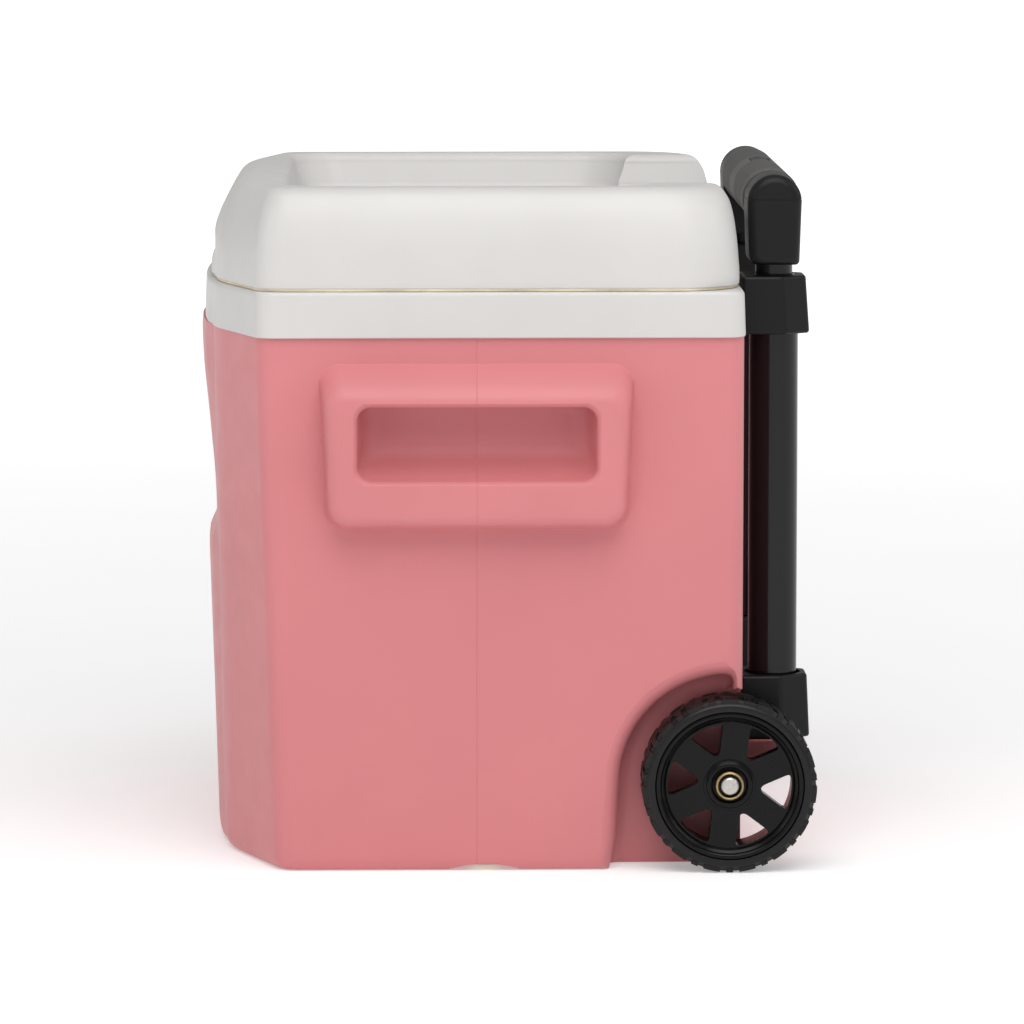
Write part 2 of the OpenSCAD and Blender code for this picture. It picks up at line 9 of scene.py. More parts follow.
import bmesh
import bpy
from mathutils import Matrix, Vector


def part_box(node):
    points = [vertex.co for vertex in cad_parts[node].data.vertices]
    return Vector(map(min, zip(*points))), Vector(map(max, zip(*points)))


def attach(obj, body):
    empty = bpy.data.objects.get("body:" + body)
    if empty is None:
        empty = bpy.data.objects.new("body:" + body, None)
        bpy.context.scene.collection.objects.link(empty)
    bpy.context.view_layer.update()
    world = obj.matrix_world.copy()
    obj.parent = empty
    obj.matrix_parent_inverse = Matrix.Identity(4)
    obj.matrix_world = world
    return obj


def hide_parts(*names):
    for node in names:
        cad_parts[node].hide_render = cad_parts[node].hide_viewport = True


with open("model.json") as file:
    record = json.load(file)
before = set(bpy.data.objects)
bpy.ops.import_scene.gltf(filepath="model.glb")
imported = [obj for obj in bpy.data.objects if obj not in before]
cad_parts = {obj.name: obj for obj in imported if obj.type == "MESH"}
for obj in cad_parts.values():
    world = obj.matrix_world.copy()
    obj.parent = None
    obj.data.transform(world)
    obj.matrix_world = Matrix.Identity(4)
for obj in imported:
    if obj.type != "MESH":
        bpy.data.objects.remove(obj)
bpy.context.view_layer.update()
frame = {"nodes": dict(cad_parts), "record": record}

# ---- Sizes taken from the frame ---------------------------------------------------------

MM = 0.001


def box_mm(node):
    """Lowest and highest corner of a CAD node, in millimetres."""
    low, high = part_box(node)
    return [v / MM for v in low], [v / MM for v in high]


liner_low, liner_high = box_mm("inner_liner")
lid_low, lid_high = box_mm("lid_shell")
tyre_low, tyre_high = box_mm("tyre_right")
tube_low, tube_high = box_mm("outer_tube_right")
mid_low, mid_high = box_mm("mid_tube_right")
inner_low, inner_high = box_mm("inner_tube_right")
cap_low, cap_high = box_mm("grip_cap_right")
sleeve_low, sleeve_high = box_mm("grip_sleeve")
upper_low, upper_high = box_mm("upper_bracket_right")
lower_low, lower_high = box_mm("lower_bracket_right")

RIM_FLARE = 0.8
RIM_HEIGHT = 29.5
RIM_TOP = liner_high[2]
RIM_BOTTOM = RIM_TOP - RIM_HEIGHT
HALF_RIM = liner_high[0] - RIM_FLARE
HALF_BODY = HALF_RIM - 2
BACK = 171.0
SHIFT = BACK + RIM_FLARE - liner_high[1]
FRONT = -170.0
CORNER_LENGTH = 92
CORNER_DEPTH = 32
CORNER_SLANT = 0.71
CORNER_SHRINK = 0.83
END_DRAFT = 6
LID_BOTTOM = lid_low[2]
LID_TOP = lid_high[2]
LID_HEIGHT = LID_TOP - LID_BOTTOM

WHEEL_Y = (tyre_low[1] + tyre_high[1]) / 2 + SHIFT
WHEEL_Z = (tyre_low[2] + tyre_high[2]) / 2
WHEEL_RADIUS = (tyre_high[2] - tyre_low[2]) / 2
TYRE_INSET = 0.3
WHEEL_INNER = tyre_low[0] - TYRE_INSET
WHEEL_WIDTH = tyre_high[0] + TYRE_INSET - WHEEL_INNER
WELL_X = WHEEL_INNER - 4
AXLE_RADIUS = 5.65
AXLE_BORE = 5.75
TUBE_X = (tube_low[0] + tube_high[0]) / 2
TUBE_Y = (tube_low[1] + tube_high[1]) / 2 + SHIFT
GRIP_Y = (sleeve_low[1] + sleeve_high[1]) / 2 + SHIFT
GRIP_Z = (sleeve_low[2] + sleeve_high[2]) / 2
GRIP_RADIUS = (sleeve_high[2] - sleeve_low[2]) / 2
SLEEVE_BORE = 12.1
FIXED_BORE, MIDDLE_BORE, INNER_BORE = 14.25, 12.1, 10.5
BRACKET_BORE = 15.85
SHELF_TOP = lower_low[2]


def at(x, y, z):
    """A point in body millimetres as a vector in the frame's metres."""
    return Vector((x * MM, (y - SHIFT) * MM, z * MM))


# ---- Outlines ---------------------------------------------------------------------------

def arc(cx, cy, r, a0, a1, n):
    """Points from angle a0 to a1 in degrees."""
    steps = [math.radians(a0 + (a1 - a0) * i / n) for i in range(n + 1)]
    return [(cx + r * math.cos(a), cy + r * math.sin(a)) for a in steps]


def soft_corner(a, b, c, d, n=8):
    """A blended corner at b that starts d before it and ends d after it."""
    b = Vector(b)
    back = (Vector(a) - b).normalized() * d
    on = (Vector(c) - b).normalized() * d
    return [tuple(b + back * (1 - i / n) ** 2 + on * (i / n) ** 2) for i in range(n + 1)]


def plan(hl, back, crease, vertex, front, corner, rear, blends=(10, 20)):
    """Plan outline, clockwise from above, with slanted front corners and a bowed front.

    hl is half the length. crease is where an end face turns into the slanted corner, vertex
    where that meets the front, and rear the radius of the back corners.
    """
    xv = hl - corner
    half = arc(hl - rear, back - rear, rear, 90, 0, 12)
    half += soft_corner((hl, back), (hl, crease), (xv, vertex), blends[0])
    half += soft_corner((hl, crease), (xv, vertex), (0, vertex), blends[1])
    bow = [0.7 - 0.1 * i for i in range(7)]
    half += [(xv * s, front + (vertex - front) * s * s) for s in bow]
    return half + [(0, front)] + [(-x, y) for x, y in reversed(half)]


def round_rect(x0, x1, y0, y1, r, n=10):
    """Rounded rectangle, clockwise."""
    return (arc(x1 - r, y1 - r, r, 90, 0, n) + arc(x1 - r, y0 + r, r, 0, -90, n)
            + arc(x0 + r, y0 + r, r, -90, -180, n) + arc(x0 + r, y1 - r, r, 180, 90, n))


def smooth_lookup(x, stops):
    """Smooth curve through (place, value) stops, with no overshoot."""
    if x <= stops[0][0]:
        return stops[0][1]
    if x >= stops[-1][0]:
        return stops[-1][1]
    k = next(i for i in range(len(stops) - 1) if stops[i][0] <= x <= stops[i + 1][0])

    def slope(i):
        if i < 0 or i >= len(stops) - 1:
            return None
        return (stops[i + 1][1] - stops[i][1]) / (stops[i + 1][0] - stops[i][0])

    def tangent(i):
        a, b = slope(i - 1), slope(i)
        if a is None or b is None:
            return a if b is None else b
        return 0 if a * b <= 0 else 2 * a * b / (a + b)

    (x0, y0), (x1, y1) = stops[k], stops[k + 1]
    w = x1 - x0
    t = (x - x0) / w
    m0, m1 = tangent(k) * w, tangent(k + 1) * w
    return (y0 * (2 * t ** 3 - 3 * t ** 2 + 1) + m0 * (t ** 3 - 2 * t ** 2 + t)
            + y1 * (3 * t ** 2 - 2 * t ** 3) + m1 * (t ** 3 - t ** 2))


def spread(a, b, n):
    """n + 1 even steps from a to b."""
    return [a + (b - a) * i / n for i in range(n + 1)]


# ---- Mesh building ----------------------------------------------------------------------

MERGE = 1e-7


def new_object(name, mesh):
    obj = bpy.data.objects.new(name, mesh)
    bpy.context.scene.collection.objects.link(obj)
    return obj


def mesh_object(name, points, faces):
    """A closed mesh from points in metres, with its normals turned outward."""
    mesh = bpy.data.meshes.new(name)
    mesh.from_pydata([tuple(p) for p in points], [], faces)
    tidy_mesh(mesh)
    return new_object(name, mesh)


def tidy_mesh(mesh):
    """Merges doubled points and turns the normals outward."""
    bm = bmesh.new()
    bm.from_mesh(mesh)
    bmesh.ops.remove_doubles(bm, verts=bm.verts, dist=MERGE)
    bmesh.ops.recalc_face_normals(bm, faces=bm.faces)
    bm.to_mesh(mesh)
    bm.free()


def loft(name, rings, loop=False):
    """Skin through rings of points in metres. A loop joins its last ring to its first."""
    n = len(rings[0])
    points = [p for ring in rings for p in ring]
    count = len(rings)
    faces = []
    for k in range(count if loop else count - 1):
        a, b = k * n, ((k + 1) % count) * n
        faces += [(a + i, a + (i + 1) % n, b + (i + 1) % n, b + i) for i in range(n)]
    if not loop:
        faces += [tuple(reversed(range(n))), tuple((count - 1) * n + i for i in range(n))]
    return mesh_object(name, points, faces)


def loft_z(name, steps):
    """Skin through (z, outline) steps, with outlines in X and Y."""
    return loft(name, [[at(x, y, z) for x, y in outline] for z, outline in steps])


def loft_x(name, steps, side=1, lean=0):
    """Skin through (x, outline) steps, with outlines in Y and Z, on one end.

    lean moves a point inward along X for each millimetre below the rim.
    """
    return loft(name, [[at(side * (x - lean * (RIM_BOTTOM - z)), y, z) for y, z in outline]
                       for x, outline in steps])


def lathe(name, profile, centre, axis="X", side=1, segments=96):
    """Turned closed solid: profile is (along, radius) points round a closed loop."""
    rings = []
    for k in range(segments):
        a = 2 * math.pi * k / segments
        ring = []
        for along, r in profile:
            u, v = r * math.cos(a), r * math.sin(a)
            if axis == "X":
                ring.append(at(centre[0] + side * along, centre[1] + u, centre[2] + v))
            else:
                ring.append(at(centre[0] + u, centre[1] + v, centre[2] + along))
        rings.append(ring)
    return loft(name, rings, loop=True)


def baked(obj, name):
    """Turns an object with modifiers into a plain mesh in its own place."""
    graph = bpy.context.evaluated_depsgraph_get()
    graph.update()
    mesh = bpy.data.meshes.new_from_object(obj.evaluated_get(graph), depsgraph=graph)
    mesh.transform(obj.matrix_world)
    result = new_object(name + "_mesh", mesh)
    drop(obj)
    result.name = name
    return result


def drop(obj):
    """Removes an object and its mesh."""
    mesh = obj.data
    bpy.data.objects.remove(obj)
    bpy.data.meshes.remove(mesh)


def combine(base, tools, operation):
    """Joins or cuts the base by each tool in turn."""
    for tool in tools:
        step = base.modifiers.new("cut", "BOOLEAN")
        step.operation = operation
        step.solver = "EXACT"
        step.object = tool
        base = baked(base, base.name)
        drop(tool)
    return base


def cut(base, *tools):
    return combine(base, tools, "DIFFERENCE")


def join(base, *tools):
    return combine(base, tools, "UNION")


def soften(obj, width, segments=3, angle=35):
    """Rounds the edges of a simple piece."""
    step = obj.modifiers.new("edge", "BEVEL")
    step.width = width * MM
    step.segments = segments
    step.limit_method = "ANGLE"
    step.angle_limit = math.radians(angle)
    return baked(obj, obj.name)


def shade(obj, angle=32):
    """Smooth shading that keeps creases, and flat faces flat."""
    obj.data.shade_smooth()
    obj.data.set_sharp_from_angle(angle=math.radians(angle))
    step = obj.modifiers.new("flat faces", "WEIGHTED_NORMAL")
    step.keep_sharp = True
    step.weight = 60


def finish_piece(obj, name, body, material, nodes=(), angle=32):
    """Names a piece, shades it, rides it on its body and hides the nodes it stands for."""
    obj.name = name
    obj.data.name = name
    obj.data.materials.clear()
    obj.data.materials.append(material)
    shade(obj, angle)
    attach(obj, body)
    if nodes:
        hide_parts(*nodes)


# ---- Repeated parts: node trees that place a source piece many times ---------------------

def tree_with_inputs(name, sockets):
    """A geometry node tree with named inputs; returns it with each input's identifier."""
    tree = bpy.data.node_groups.new(name, "GeometryNodeTree")
    ids = {}
    for label, kind in sockets:
        socket = tree.interface.new_socket(name=label, in_out="INPUT", socket_type=kind)
        ids[label] = socket.identifier
    tree.interface.new_socket(name="Geometry", in_out="OUTPUT", socket_type="NodeSocketGeometry")
    return tree, ids


def add(tree, kind, links=(), **settings):
    """One node with its settings, values and links."""
    node = tree.nodes.new(kind)
    for key, value in settings.items():
        setattr(node, key, value)
    for key, value in dict(links).items():
        if isinstance(value, bpy.types.NodeSocket):
            tree.links.new(value, node.inputs[key])
        else:
            node.inputs[key].default_value = value
    return node


def ring_tree():
    """Places a source piece round the X axis, turned to face outward."""
    tree, ids = tree_with_inputs("Ring of pieces", [
        ("Geometry", "NodeSocketGeometry"), ("Piece", "NodeSocketObject"),
        ("Count", "NodeSocketInt"), ("Start", "NodeSocketFloat"),
        ("Centre", "NodeSocketVector"), ("Material", "NodeSocketMaterial")])
    source = add(tree, "NodeGroupInput")
    info = add(tree, "GeometryNodeObjectInfo", {"Object": source.outputs["Piece"]})
    points = add(tree, "GeometryNodePoints", {"Count": source.outputs["Count"]})
    index = add(tree, "GeometryNodeInputIndex")
    share = add(tree, "ShaderNodeMath", {0: index.outputs[0], 1: source.outputs["Count"]},
                operation="DIVIDE")
    angle = add(tree, "ShaderNodeMath", {0: share.outputs[0], 1: 2 * math.pi, 2: source.outputs["Start"]},
                operation="MULTIPLY_ADD")
    turn = add(tree, "ShaderNodeCombineXYZ", {"X": angle.outputs[0]})
    copies = add(tree, "GeometryNodeInstanceOnPoints", {
        "Points": points.outputs[0], "Instance": info.outputs["Geometry"], "Rotation": turn.outputs[0]})
    moved = add(tree, "GeometryNodeTranslateInstances", {
        "Instances": copies.outputs[0], "Translation": source.outputs["Centre"]})
    moved.inputs["Local Space"].default_value = False
    return end_tree(tree, source, moved), ids


def row_tree():
    """Places a source piece in an even row along a step vector."""
    tree, ids = tree_with_inputs("Row of pieces", [
        ("Geometry", "NodeSocketGeometry"), ("Piece", "NodeSocketObject"),
        ("Count", "NodeSocketInt"), ("First", "NodeSocketVector"),
        ("Step", "NodeSocketVector"), ("Material", "NodeSocketMaterial")])
    source = add(tree, "NodeGroupInput")
    info = add(tree, "GeometryNodeObjectInfo", {"Object": source.outputs["Piece"]})
    line = add(tree, "GeometryNodeMeshLine", {
        "Count": source.outputs["Count"], "Start Location": source.outputs["First"],
        "Offset": source.outputs["Step"]})
    copies = add(tree, "GeometryNodeInstanceOnPoints", {
        "Points": line.outputs[0], "Instance": info.outputs["Geometry"]})
    return end_tree(tree, source, copies), ids


def end_tree(tree, source, last):
    """Ends a tree: real meshes from the copies, in the piece's material."""
    solid = add(tree, "GeometryNodeRealizeInstances", {"Geometry": last.outputs[0]})
    finish = add(tree, "GeometryNodeSetMaterial", {
        "Geometry": solid.outputs[0], "Material": source.outputs["Material"]})
    output = add(tree, "NodeGroupOutput", {"Geometry": finish.outputs[0]})
    output.is_active_output = True
    return tree


def repeated(name, tree_and_ids, piece, material, **values):
    """Runs a tree on an empty mesh and returns the plain mesh it makes."""
    tree, ids = tree_and_ids
    holder = new_object(name, bpy.data.meshes.new(name))
    step = holder.modifiers.new("repeat", "NODES")
    step.node_group = tree
    step[ids["Piece"]] = piece
    step[ids["Material"]] = material
    for label, value in values.items():
        step[ids[label]] = value
    result = baked(holder, name)
    drop(piece)
    return result


def merged(name, *objects):
    """Joins finished meshes into one object without changing them."""
    bm = bmesh.new()
    for obj in objects:
        bm.from_mesh(obj.data)
    mesh = bpy.data.meshes.new(name)
    bm.to_mesh(mesh)
    bm.free()
    for obj in objects:
        drop(obj)
    return new_object(name, mesh)


# ---- Materials --------------------------------------------------------------------------

class Sig:
    """A shader socket whose Python operators add Math nodes."""

    def __init__(self, net, socket):
        self.net = net
        self.socket = socket

    def _math(self, operation, a, b):
        return self.net.make("ShaderNodeMath", {0: a, 1: b}, operation=operation)

    def __add__(self, other):
        return self._math("ADD", self, other)

    def __mul__(self, other):
        return self._math("MULTIPLY", self, other)

    def __sub__(self, other):
        return self._math("SUBTRACT", self, other)

    def __rsub__(self, other):
        return self._math("SUBTRACT", other, self)

    __radd__ = __add__
    __rmul__ = __mul__


class Net:
    """A material's nodes, made one at a time."""

    def __init__(self, name):
        self.material = bpy.data.materials.new(name)
        self.material.use_nodes = True
        self.tree = self.material.node_tree
        self.shader = self.tree.nodes["Principled BSDF"]
        self.coords = self.node("ShaderNodeTexCoord").outputs["Object"]

    def node(self, kind, values=(), **settings):
        node = self.tree.nodes.new(kind)
        stops = settings.pop("stops", None)
        for key, value in settings.items():
            setattr(node, key, value)
        if stops:
            ramp = node.color_ramp.elements
            while len(ramp) < len(stops):
                ramp.new(0.5)
            for element, (place, colour) in zip(ramp, stops):
                element.position = place
                element.color = colour
        for key, value in dict(values).items():
            self.put(node.inputs[key], value)
        return node

    def put(self, socket, value):
        if isinstance(value, Sig):
            value = value.socket
        if isinstance(value, bpy.types.NodeSocket):
            self.tree.links.new(value, socket)
        else:
            socket.default_value = value

    def make(self, kind, values=(), output=0, **settings):
        return Sig(self, self.node(kind, values, **settings).outputs[output])

    def noise(self, scale, detail=3, rough=0.5, stretch=None):
        """Even noise; stretch sets how fine it is along each axis."""
        vector = self.coords
        if stretch:
            vector = self.make("ShaderNodeMapping", {"Vector": self.coords, "Scale": stretch})
        return self.make("ShaderNodeTexNoise", {
            "Vector": vector, "Scale": scale, "Detail": detail, "Roughness": rough})

    def band(self, signal, low, high, out_low, out_high):
        """Maps a range of a signal to another range, held at its ends."""
        return self.make("ShaderNodeMapRange", {
            "Value": signal, "From Min": low, "From Max": high, "To Min": out_low, "To Max": out_high})

    def blend(self, factor, a, b):
        node = self.node("ShaderNodeMix", data_type="RGBA")
        self.put(node.inputs[0], factor)
        self.put(node.inputs[6], a)
        self.put(node.inputs[7], b)
        return Sig(self, node.outputs[2])

    def bump(self, height, distance, strength=1.0, under=None):
        values = {"Height": height, "Distance": distance, "Strength": strength}
        if under:
            values["Normal"] = under
        return self.make("ShaderNodeBump", values)

    def set(self, **values):
        names = {"color": "Base Color", "rough": "Roughness", "metal": "Metallic", "normal": "Normal",
                 "specular": "Specular IOR Level", "glow": "Emission Color",
                 "glow_strength": "Emission Strength"}
        for key, value in values.items():
            self.put(self.shader.inputs[names[key]], value)


def shade_of(rgb, factor):
    """A lighter or darker colour of the same hue."""
    return tuple(min(1, c * factor) for c in rgb) + (1,)


def moulded_plastic(name, rgb, rough, grain=1800, grain_depth=0.00002, variation=0.03,
                    specular=0.5, parting=None):
    """Moulded plastic: faint mottling, a fine spark-eroded grain and a slight waviness.

    parting is the place along Y of the line where the mould's halves meet.
    """
    net = Net(name)
    mottle = net.band(net.noise(9, 4), 0.3, 0.7, 0, 1)
    colour = net.blend(mottle, shade_of(rgb, 1 - variation), shade_of(rgb, 1 + variation))
    fine = net.noise(grain, 2, 0.6)
    wave = net.bump(net.noise(22, 1), 0.0004, 0.25)
    surface = net.bump(fine, grain_depth, 0.5, under=wave)
    if parting is not None:
        along = net.make("ShaderNodeSeparateXYZ", {"Vector": net.coords}, output=1)
        away = net.make("ShaderNodeMath", {0: along - parting}, operation="ABSOLUTE")
        ridge = net.band(away, 0.0001, 0.0005, 1, 0)
        surface = net.bump(ridge, 0.0003, 0.8, under=surface)
    roughness = net.band(net.noise(60, 3), 0.3, 0.7, rough - 0.04, rough + 0.04)
    net.set(color=colour, rough=roughness, normal=surface, specular=specular)
    return net.material


def gloss_coat(name, rgb, rough):
    """Gloss powder coat on a tube: orange-peel waviness and a few dull rub marks."""
    net = Net(name)
    rub = net.band(net.noise(30, 5, 0.6, stretch=(1, 1, 0.12)), 0.55, 0.8, 0, 0.12)
    peel = net.bump(net.noise(420, 2), 0.00002, 0.35)
    net.set(color=net.blend(rub, shade_of(rgb, 1), shade_of(rgb, 2.2)), rough=rub + rough, normal=peel,
            specular=0.3)
    return net.material


def hard_tread(name, rgb):
    """Hard tyre plastic: satin, with lighter scuffs and dust in patches spread by a noise."""
    net = Net(name)
    scuff = net.band(net.noise(140, 6, 0.7), 0.52, 0.72, 0, 1)
    colour = net.blend(scuff * 0.35, shade_of(rgb, 0.9), shade_of(rgb, 1.9))
    grain = net.bump(net.noise(900, 3, 0.65), 0.00005, 0.45)
    net.set(color=colour, rough=net.band(scuff, 0, 1, 0.32, 0.46), normal=grain, specular=0.28)
    return net.material


def bare_metal(name, rgb, rough, stretch):
    """Turned or drawn metal: fine lines along its making and small dark flecks."""
    net = Net(name)
    lines = net.noise(500, 3, 0.6, stretch=stretch)
    fleck = net.band(net.noise(240, 4, 0.7), 0.58, 0.7, 0, 0.5)
    colour = net.blend(fleck, shade_of(rgb, 1), shade_of(rgb, 0.55))
    net.set(color=colour, metal=1.0, rough=net.band(lines, 0.3, 0.7, rough - 0.08, rough + 0.1),
            normal=net.bump(lines, 0.00003, 0.3))
    return net.material


def ribbed_rubber(name, rgb):
    """Soft grip rubber: matt, with a fine grain and a grey bloom in patches spread by a noise."""
    net = Net(name)
    bloom = net.band(net.noise(35, 4), 0.35, 0.7, 0, 1)
    colour = net.blend(bloom, shade_of(rgb, 0.85), shade_of(rgb, 1.4))
    net.set(color=colour, rough=net.band(bloom, 0, 1, 0.44, 0.54),
            normal=net.bump(net.noise(1500, 2), 0.00004, 0.5))
    return net.material


def rigid_foam(name, rgb):
    """Poured foam: small open cells and uneven colour."""
    net = Net(name)
    cells = net.make("ShaderNodeTexVoronoi", {"Vector": net.coords, "Scale": 380})
    tone = net.band(net.noise(14, 4), 0.3, 0.7, 0, 1)
    net.set(color=net.blend(tone, shade_of(rgb, 0.86), shade_of(rgb, 1.05)), rough=0.9,
            normal=net.bump(cells, 0.0004, 0.6))
    return net.material


pink_plastic = moulded_plastic("moulded_pink_plastic", (0.60, 0.200, 0.212), 0.42, specular=0.32,
                               parting=-SHIFT * MM)
white_plastic = moulded_plastic("moulded_white_plastic", (0.575, 0.562, 0.545), 0.42)
black_plastic = moulded_plastic("moulded_black_plastic", (0.0055, 0.0055, 0.0065), 0.40, grain=1300,
                                grain_depth=0.00005, variation=0.12, specular=0.22)
wheel_plastic = moulded_plastic("wheel_black_plastic", (0.0022, 0.0022, 0.0026), 0.25, grain=1500,
                                grain_depth=0.00002, variation=0.1, specular=0.2)
tube_coat = gloss_coat("tube_gloss_coat", (0.003, 0.003, 0.0034), 0.14)
tread_plastic = hard_tread("tyre_hard_tread", (0.0075, 0.0068, 0.0068))
axle_steel = bare_metal("axle_steel", (0.56, 0.54, 0.50), 0.32, (1, 1, 1))
screw_steel = bare_metal("screw_steel", (0.42, 0.42, 0.42), 0.35, (1, 0.1, 1))
nut_brass = bare_metal("push_nut_brass", (0.42, 0.31, 0.15), 0.38, (0.3, 1, 1))
grip_rubber = ribbed_rubber("ribbed_grip_rubber", (0.052, 0.050, 0.048))
# The seal's tan colour is painted shade: the shadowed gap between lid and rim, with a warm painted reflection
# in it.
seal_rubber = ribbed_rubber("seal_rubber", (0.60, 0.50, 0.34))
foam_stuff = rigid_foam("rigid_foam", (0.83, 0.74, 0.42))

MATERIALS = {
    "shell_pink": pink_plastic, "white_plastic": white_plastic, "foam": foam_stuff,
    "seal_rubber": seal_rubber, "wheel_plastic": wheel_plastic, "tyre": tread_plastic,
    "steel": axle_steel, "brass": nut_brass, "tube_black": tube_coat,
    "black_plastic": black_plastic, "grip_rubber": grip_rubber,
}


# ---- Body -------------------------------------------------------------------------------

# How far the front stands out, in mm, at shares of the body's height.
SWELL = [(0, 0), (0.09, 1), (0.3, 3.2), (0.5, 5.4), (0.56, 6), (0.585, 5.3), (0.61, 1.2), (0.635, 0.1),
         (0.66, 0.3), (0.8, 5), (0.93, 9.4), (0.985, 10), (1, 9.4)]
SHELL_WALL = 3
LEAN = END_DRAFT / RIM_BOTTOM
FOOT_RADIUS = 10
FOOT_LEVELS = [0, 0.4, 1.2, 2.5, 4.5, 7]
REAR_RADIUS = 14
SEAM = 0.05


def foot_inset(z):
    """How far the walls turn in near the floor."""
    if z >= FOOT_RADIUS:
        return 0
    return 0.6 * (FOOT_RADIUS - math.sqrt(FOOT_RADIUS ** 2 - (FOOT_RADIUS - z) ** 2))


def body_outline(z, wall=0):
    """Plan outline of the pink body at a height, moved inward by the wall."""
    share = min(1, z / RIM_BOTTOM)
    up = 1 - share
    e = foot_inset(z) + wall
    return plan(HALF_BODY - END_DRAFT * up - e, BACK - e, FRONT + CORNER_DEPTH + 11 * up + CORNER_SLANT * e,
                FRONT + 6 * up + e, FRONT - smooth_lookup(share, SWELL) + e,
                CORNER_LENGTH - CORNER_SHRINK * e, max(6, REAR_RADIUS - wall))


BOSS_TOP = RIM_BOTTOM - 15
BOSS_LOW = BOSS_TOP - 106.5
BOSS_HALF = 100.5
BOSS_OUT = 22
BOSS_TAPER = 0.045
POCKET_TOP = BOSS_TOP - 27.5
POCKET_LOW = POCKET_TOP - 47
POCKET_HALF = 76.0


def boss_outline(y_in, bottom_in, top_in, radius, wall):
    """Outline of the hand-pocket block in Y and Z; its sides close in towards the bottom."""
    low, high = BOSS_LOW, BOSS_TOP
    outline = round_rect(-BOSS_HALF + y_in + wall, BOSS_HALF - y_in - wall, low + bottom_in + wall,
                         high - top_in - wall, radius)
    return [(y * (1 - BOSS_TAPER * (high - z) / (high - low)), z) for y, z in outline]


def boss(side, wall=0):
    """Block round a hand pocket: a long slope above, rounded edges all round.

    Each step is a place along X, the insets of the sides, the bottom and the top, and the
    radius of the corners.
    """
    steps = [(HALF_BODY - 13, -1.5, -1.5, -1.0, 14), (HALF_BODY - 2.2, -1.5, -1.5, -1.0, 14),
             (HALF_BODY - 1.2, -1.1, -1.0, 0.2, 14), (HALF_BODY, -0.3, -0.2, 1.8, 14),
             (HALF_BODY + 2, 0.3, 0.3, 3.4, 14), (HALF_BODY + 8, 0.9, 0.9, 7.6, 14),
             (HALF_BODY + 14, 1.8, 1.8, 12.4, 14), (HALF_BODY + 17, 2.8, 2.8, 15.2, 13),
             (HALF_BODY + 19, 4.2, 4.0, 17.6, 12), (HALF_BODY + 20.6, 6.2, 5.8, 20, 11),
             (HALF_BODY + 21.6, 8.6, 8.0, 22.4, 10), (HALF_BODY + BOSS_OUT, 11.5, 10.6, 25, 9)]
    return loft_x("boss", [(x - (wall if x > HALF_BODY else 0), boss_outline(y, b, t, r, wall))
                           for x, y, b, t, r in steps], side)


def pocket(side, grow=0):
    """Hand pocket: rounded mouth, undercut above, floor sloping up to the back.

    Each step is a place along X and the insets of the sides, the bottom and the top.
    """
    face = HALF_BODY + BOSS_OUT
    half, low, high = POCKET_HALF, POCKET_LOW, POCKET_TOP
    steps = [(face + 9, -6, -6, -6), (face + 0.6, -3.4, -3.4, -3.4), (face - 0.2, -2.3, -2.3, -2.3),
             (face - 1.2, -1.2, -1.2, -1.2), (face - 2.6, -0.35, -0.35, -0.35), (face - 4, 0, 0, 0),
             (face - 9, 0.4, 0.6, -0.4), (face - 13, 0.8, 1.8, -5.5), (face - 17, 1.4, 3.6, -9.5),
             (face - 23, 2.4, 6.6, -11.5), (face - 28, 4.4, 9.6, -10.5), (face - 31, 7, 12.8, -7.5),
             (face - 33.4, 11, 17, -2.5), (face - 34.6, 17, 22, 5)]
    rings = []
    for x, side_in, low_in, top_in in steps:
        deep = x < face - 20
        rings.append((x - (grow if deep else 0),
                      round_rect(-half + side_in - grow, half - side_in + grow, low + low_in - grow,
                                 high - top_in + grow, 9 + 0.5 * grow)))
    return loft_x("pocket", rings, side)


def arch_outline(grow):
    """Wheel arch in Y and Z: round in front and above, open below and behind the wheel."""
    r = WHEEL_RADIUS + 14 + grow
    back = BACK - 2 * SHELL_WALL + min(grow, 3)
    top = WHEEL_Z + WHEEL_RADIUS + 4 + min(grow, 3)
    meet = math.degrees(math.acos((back - WHEEL_Y) / r))
    points = [(WHEEL_Y - r - 9, -20), (WHEEL_Y - r - 6.5, 0), (WHEEL_Y - r - 2.5, 20)]
    points += arc(WHEEL_Y, WHEEL_Z, r, 176, meet + 6, 40)
    peak = WHEEL_Z + r * math.sin(math.radians(meet))
    points += soft_corner(points[-1], (back, peak), (back, top), 7, 8)[1:]
    return points + [(back, top), (BACK + 80, top), (BACK + 80, -20)]


def wheel_well(side, grow=0):
    """Cutter for one wheel's space, with a rounded edge at the end face and the inner wall."""
    edge, fillet = 11, 8
    steps = [(HALF_BODY + 40, edge), (HALF_BODY + 0.2, edge)]
    for k in range(1, 9):
        a = math.radians(90 * k / 8)
        steps.append((HALF_BODY - edge + edge * math.cos(a), edge - edge * math.sin(a)))
    inner = [(WELL_X + fillet, 0)]
    for k in range(1, 7):
        a = math.radians(90 * k / 6)
        inner.append((WELL_X + fillet - fillet * math.sin(a), -fillet * (1 - math.cos(a))))
    rings = [[at(side * (x - LEAN * (RIM_BOTTOM - max(0, z))), y, z)
              for y, z in arch_outline(g + grow)] for x, g in steps]
    rings += [[at(side * (x - grow), y, z) for y, z in arch_outline(g + grow)] for x, g in inner]
    return loft("well", rings)


SHELF_HEIGHT = 24


def shelf(wall=0):
    """Ledge across the back that the lower brackets stand on."""
    low, high, out = SHELF_TOP - SHELF_HEIGHT, SHELF_TOP, TUBE_Y + 4.5
    outline = [(BACK - 8, low + wall), (out - 9, low + wall)]
    outline += soft_corner((out - 9, low + wall), (out - wall, low + 9), (out - wall, high - 8), 3, 4)
    outline += arc(out - wall - 4, high - wall - 4, 4, 0, 90, 6) + [(BACK - 8, high - wall)]
    x = WELL_X - 5 - wall
    return loft("shelf", [[at(s, y, z) for y, z in outline] for s in (-x, x)])


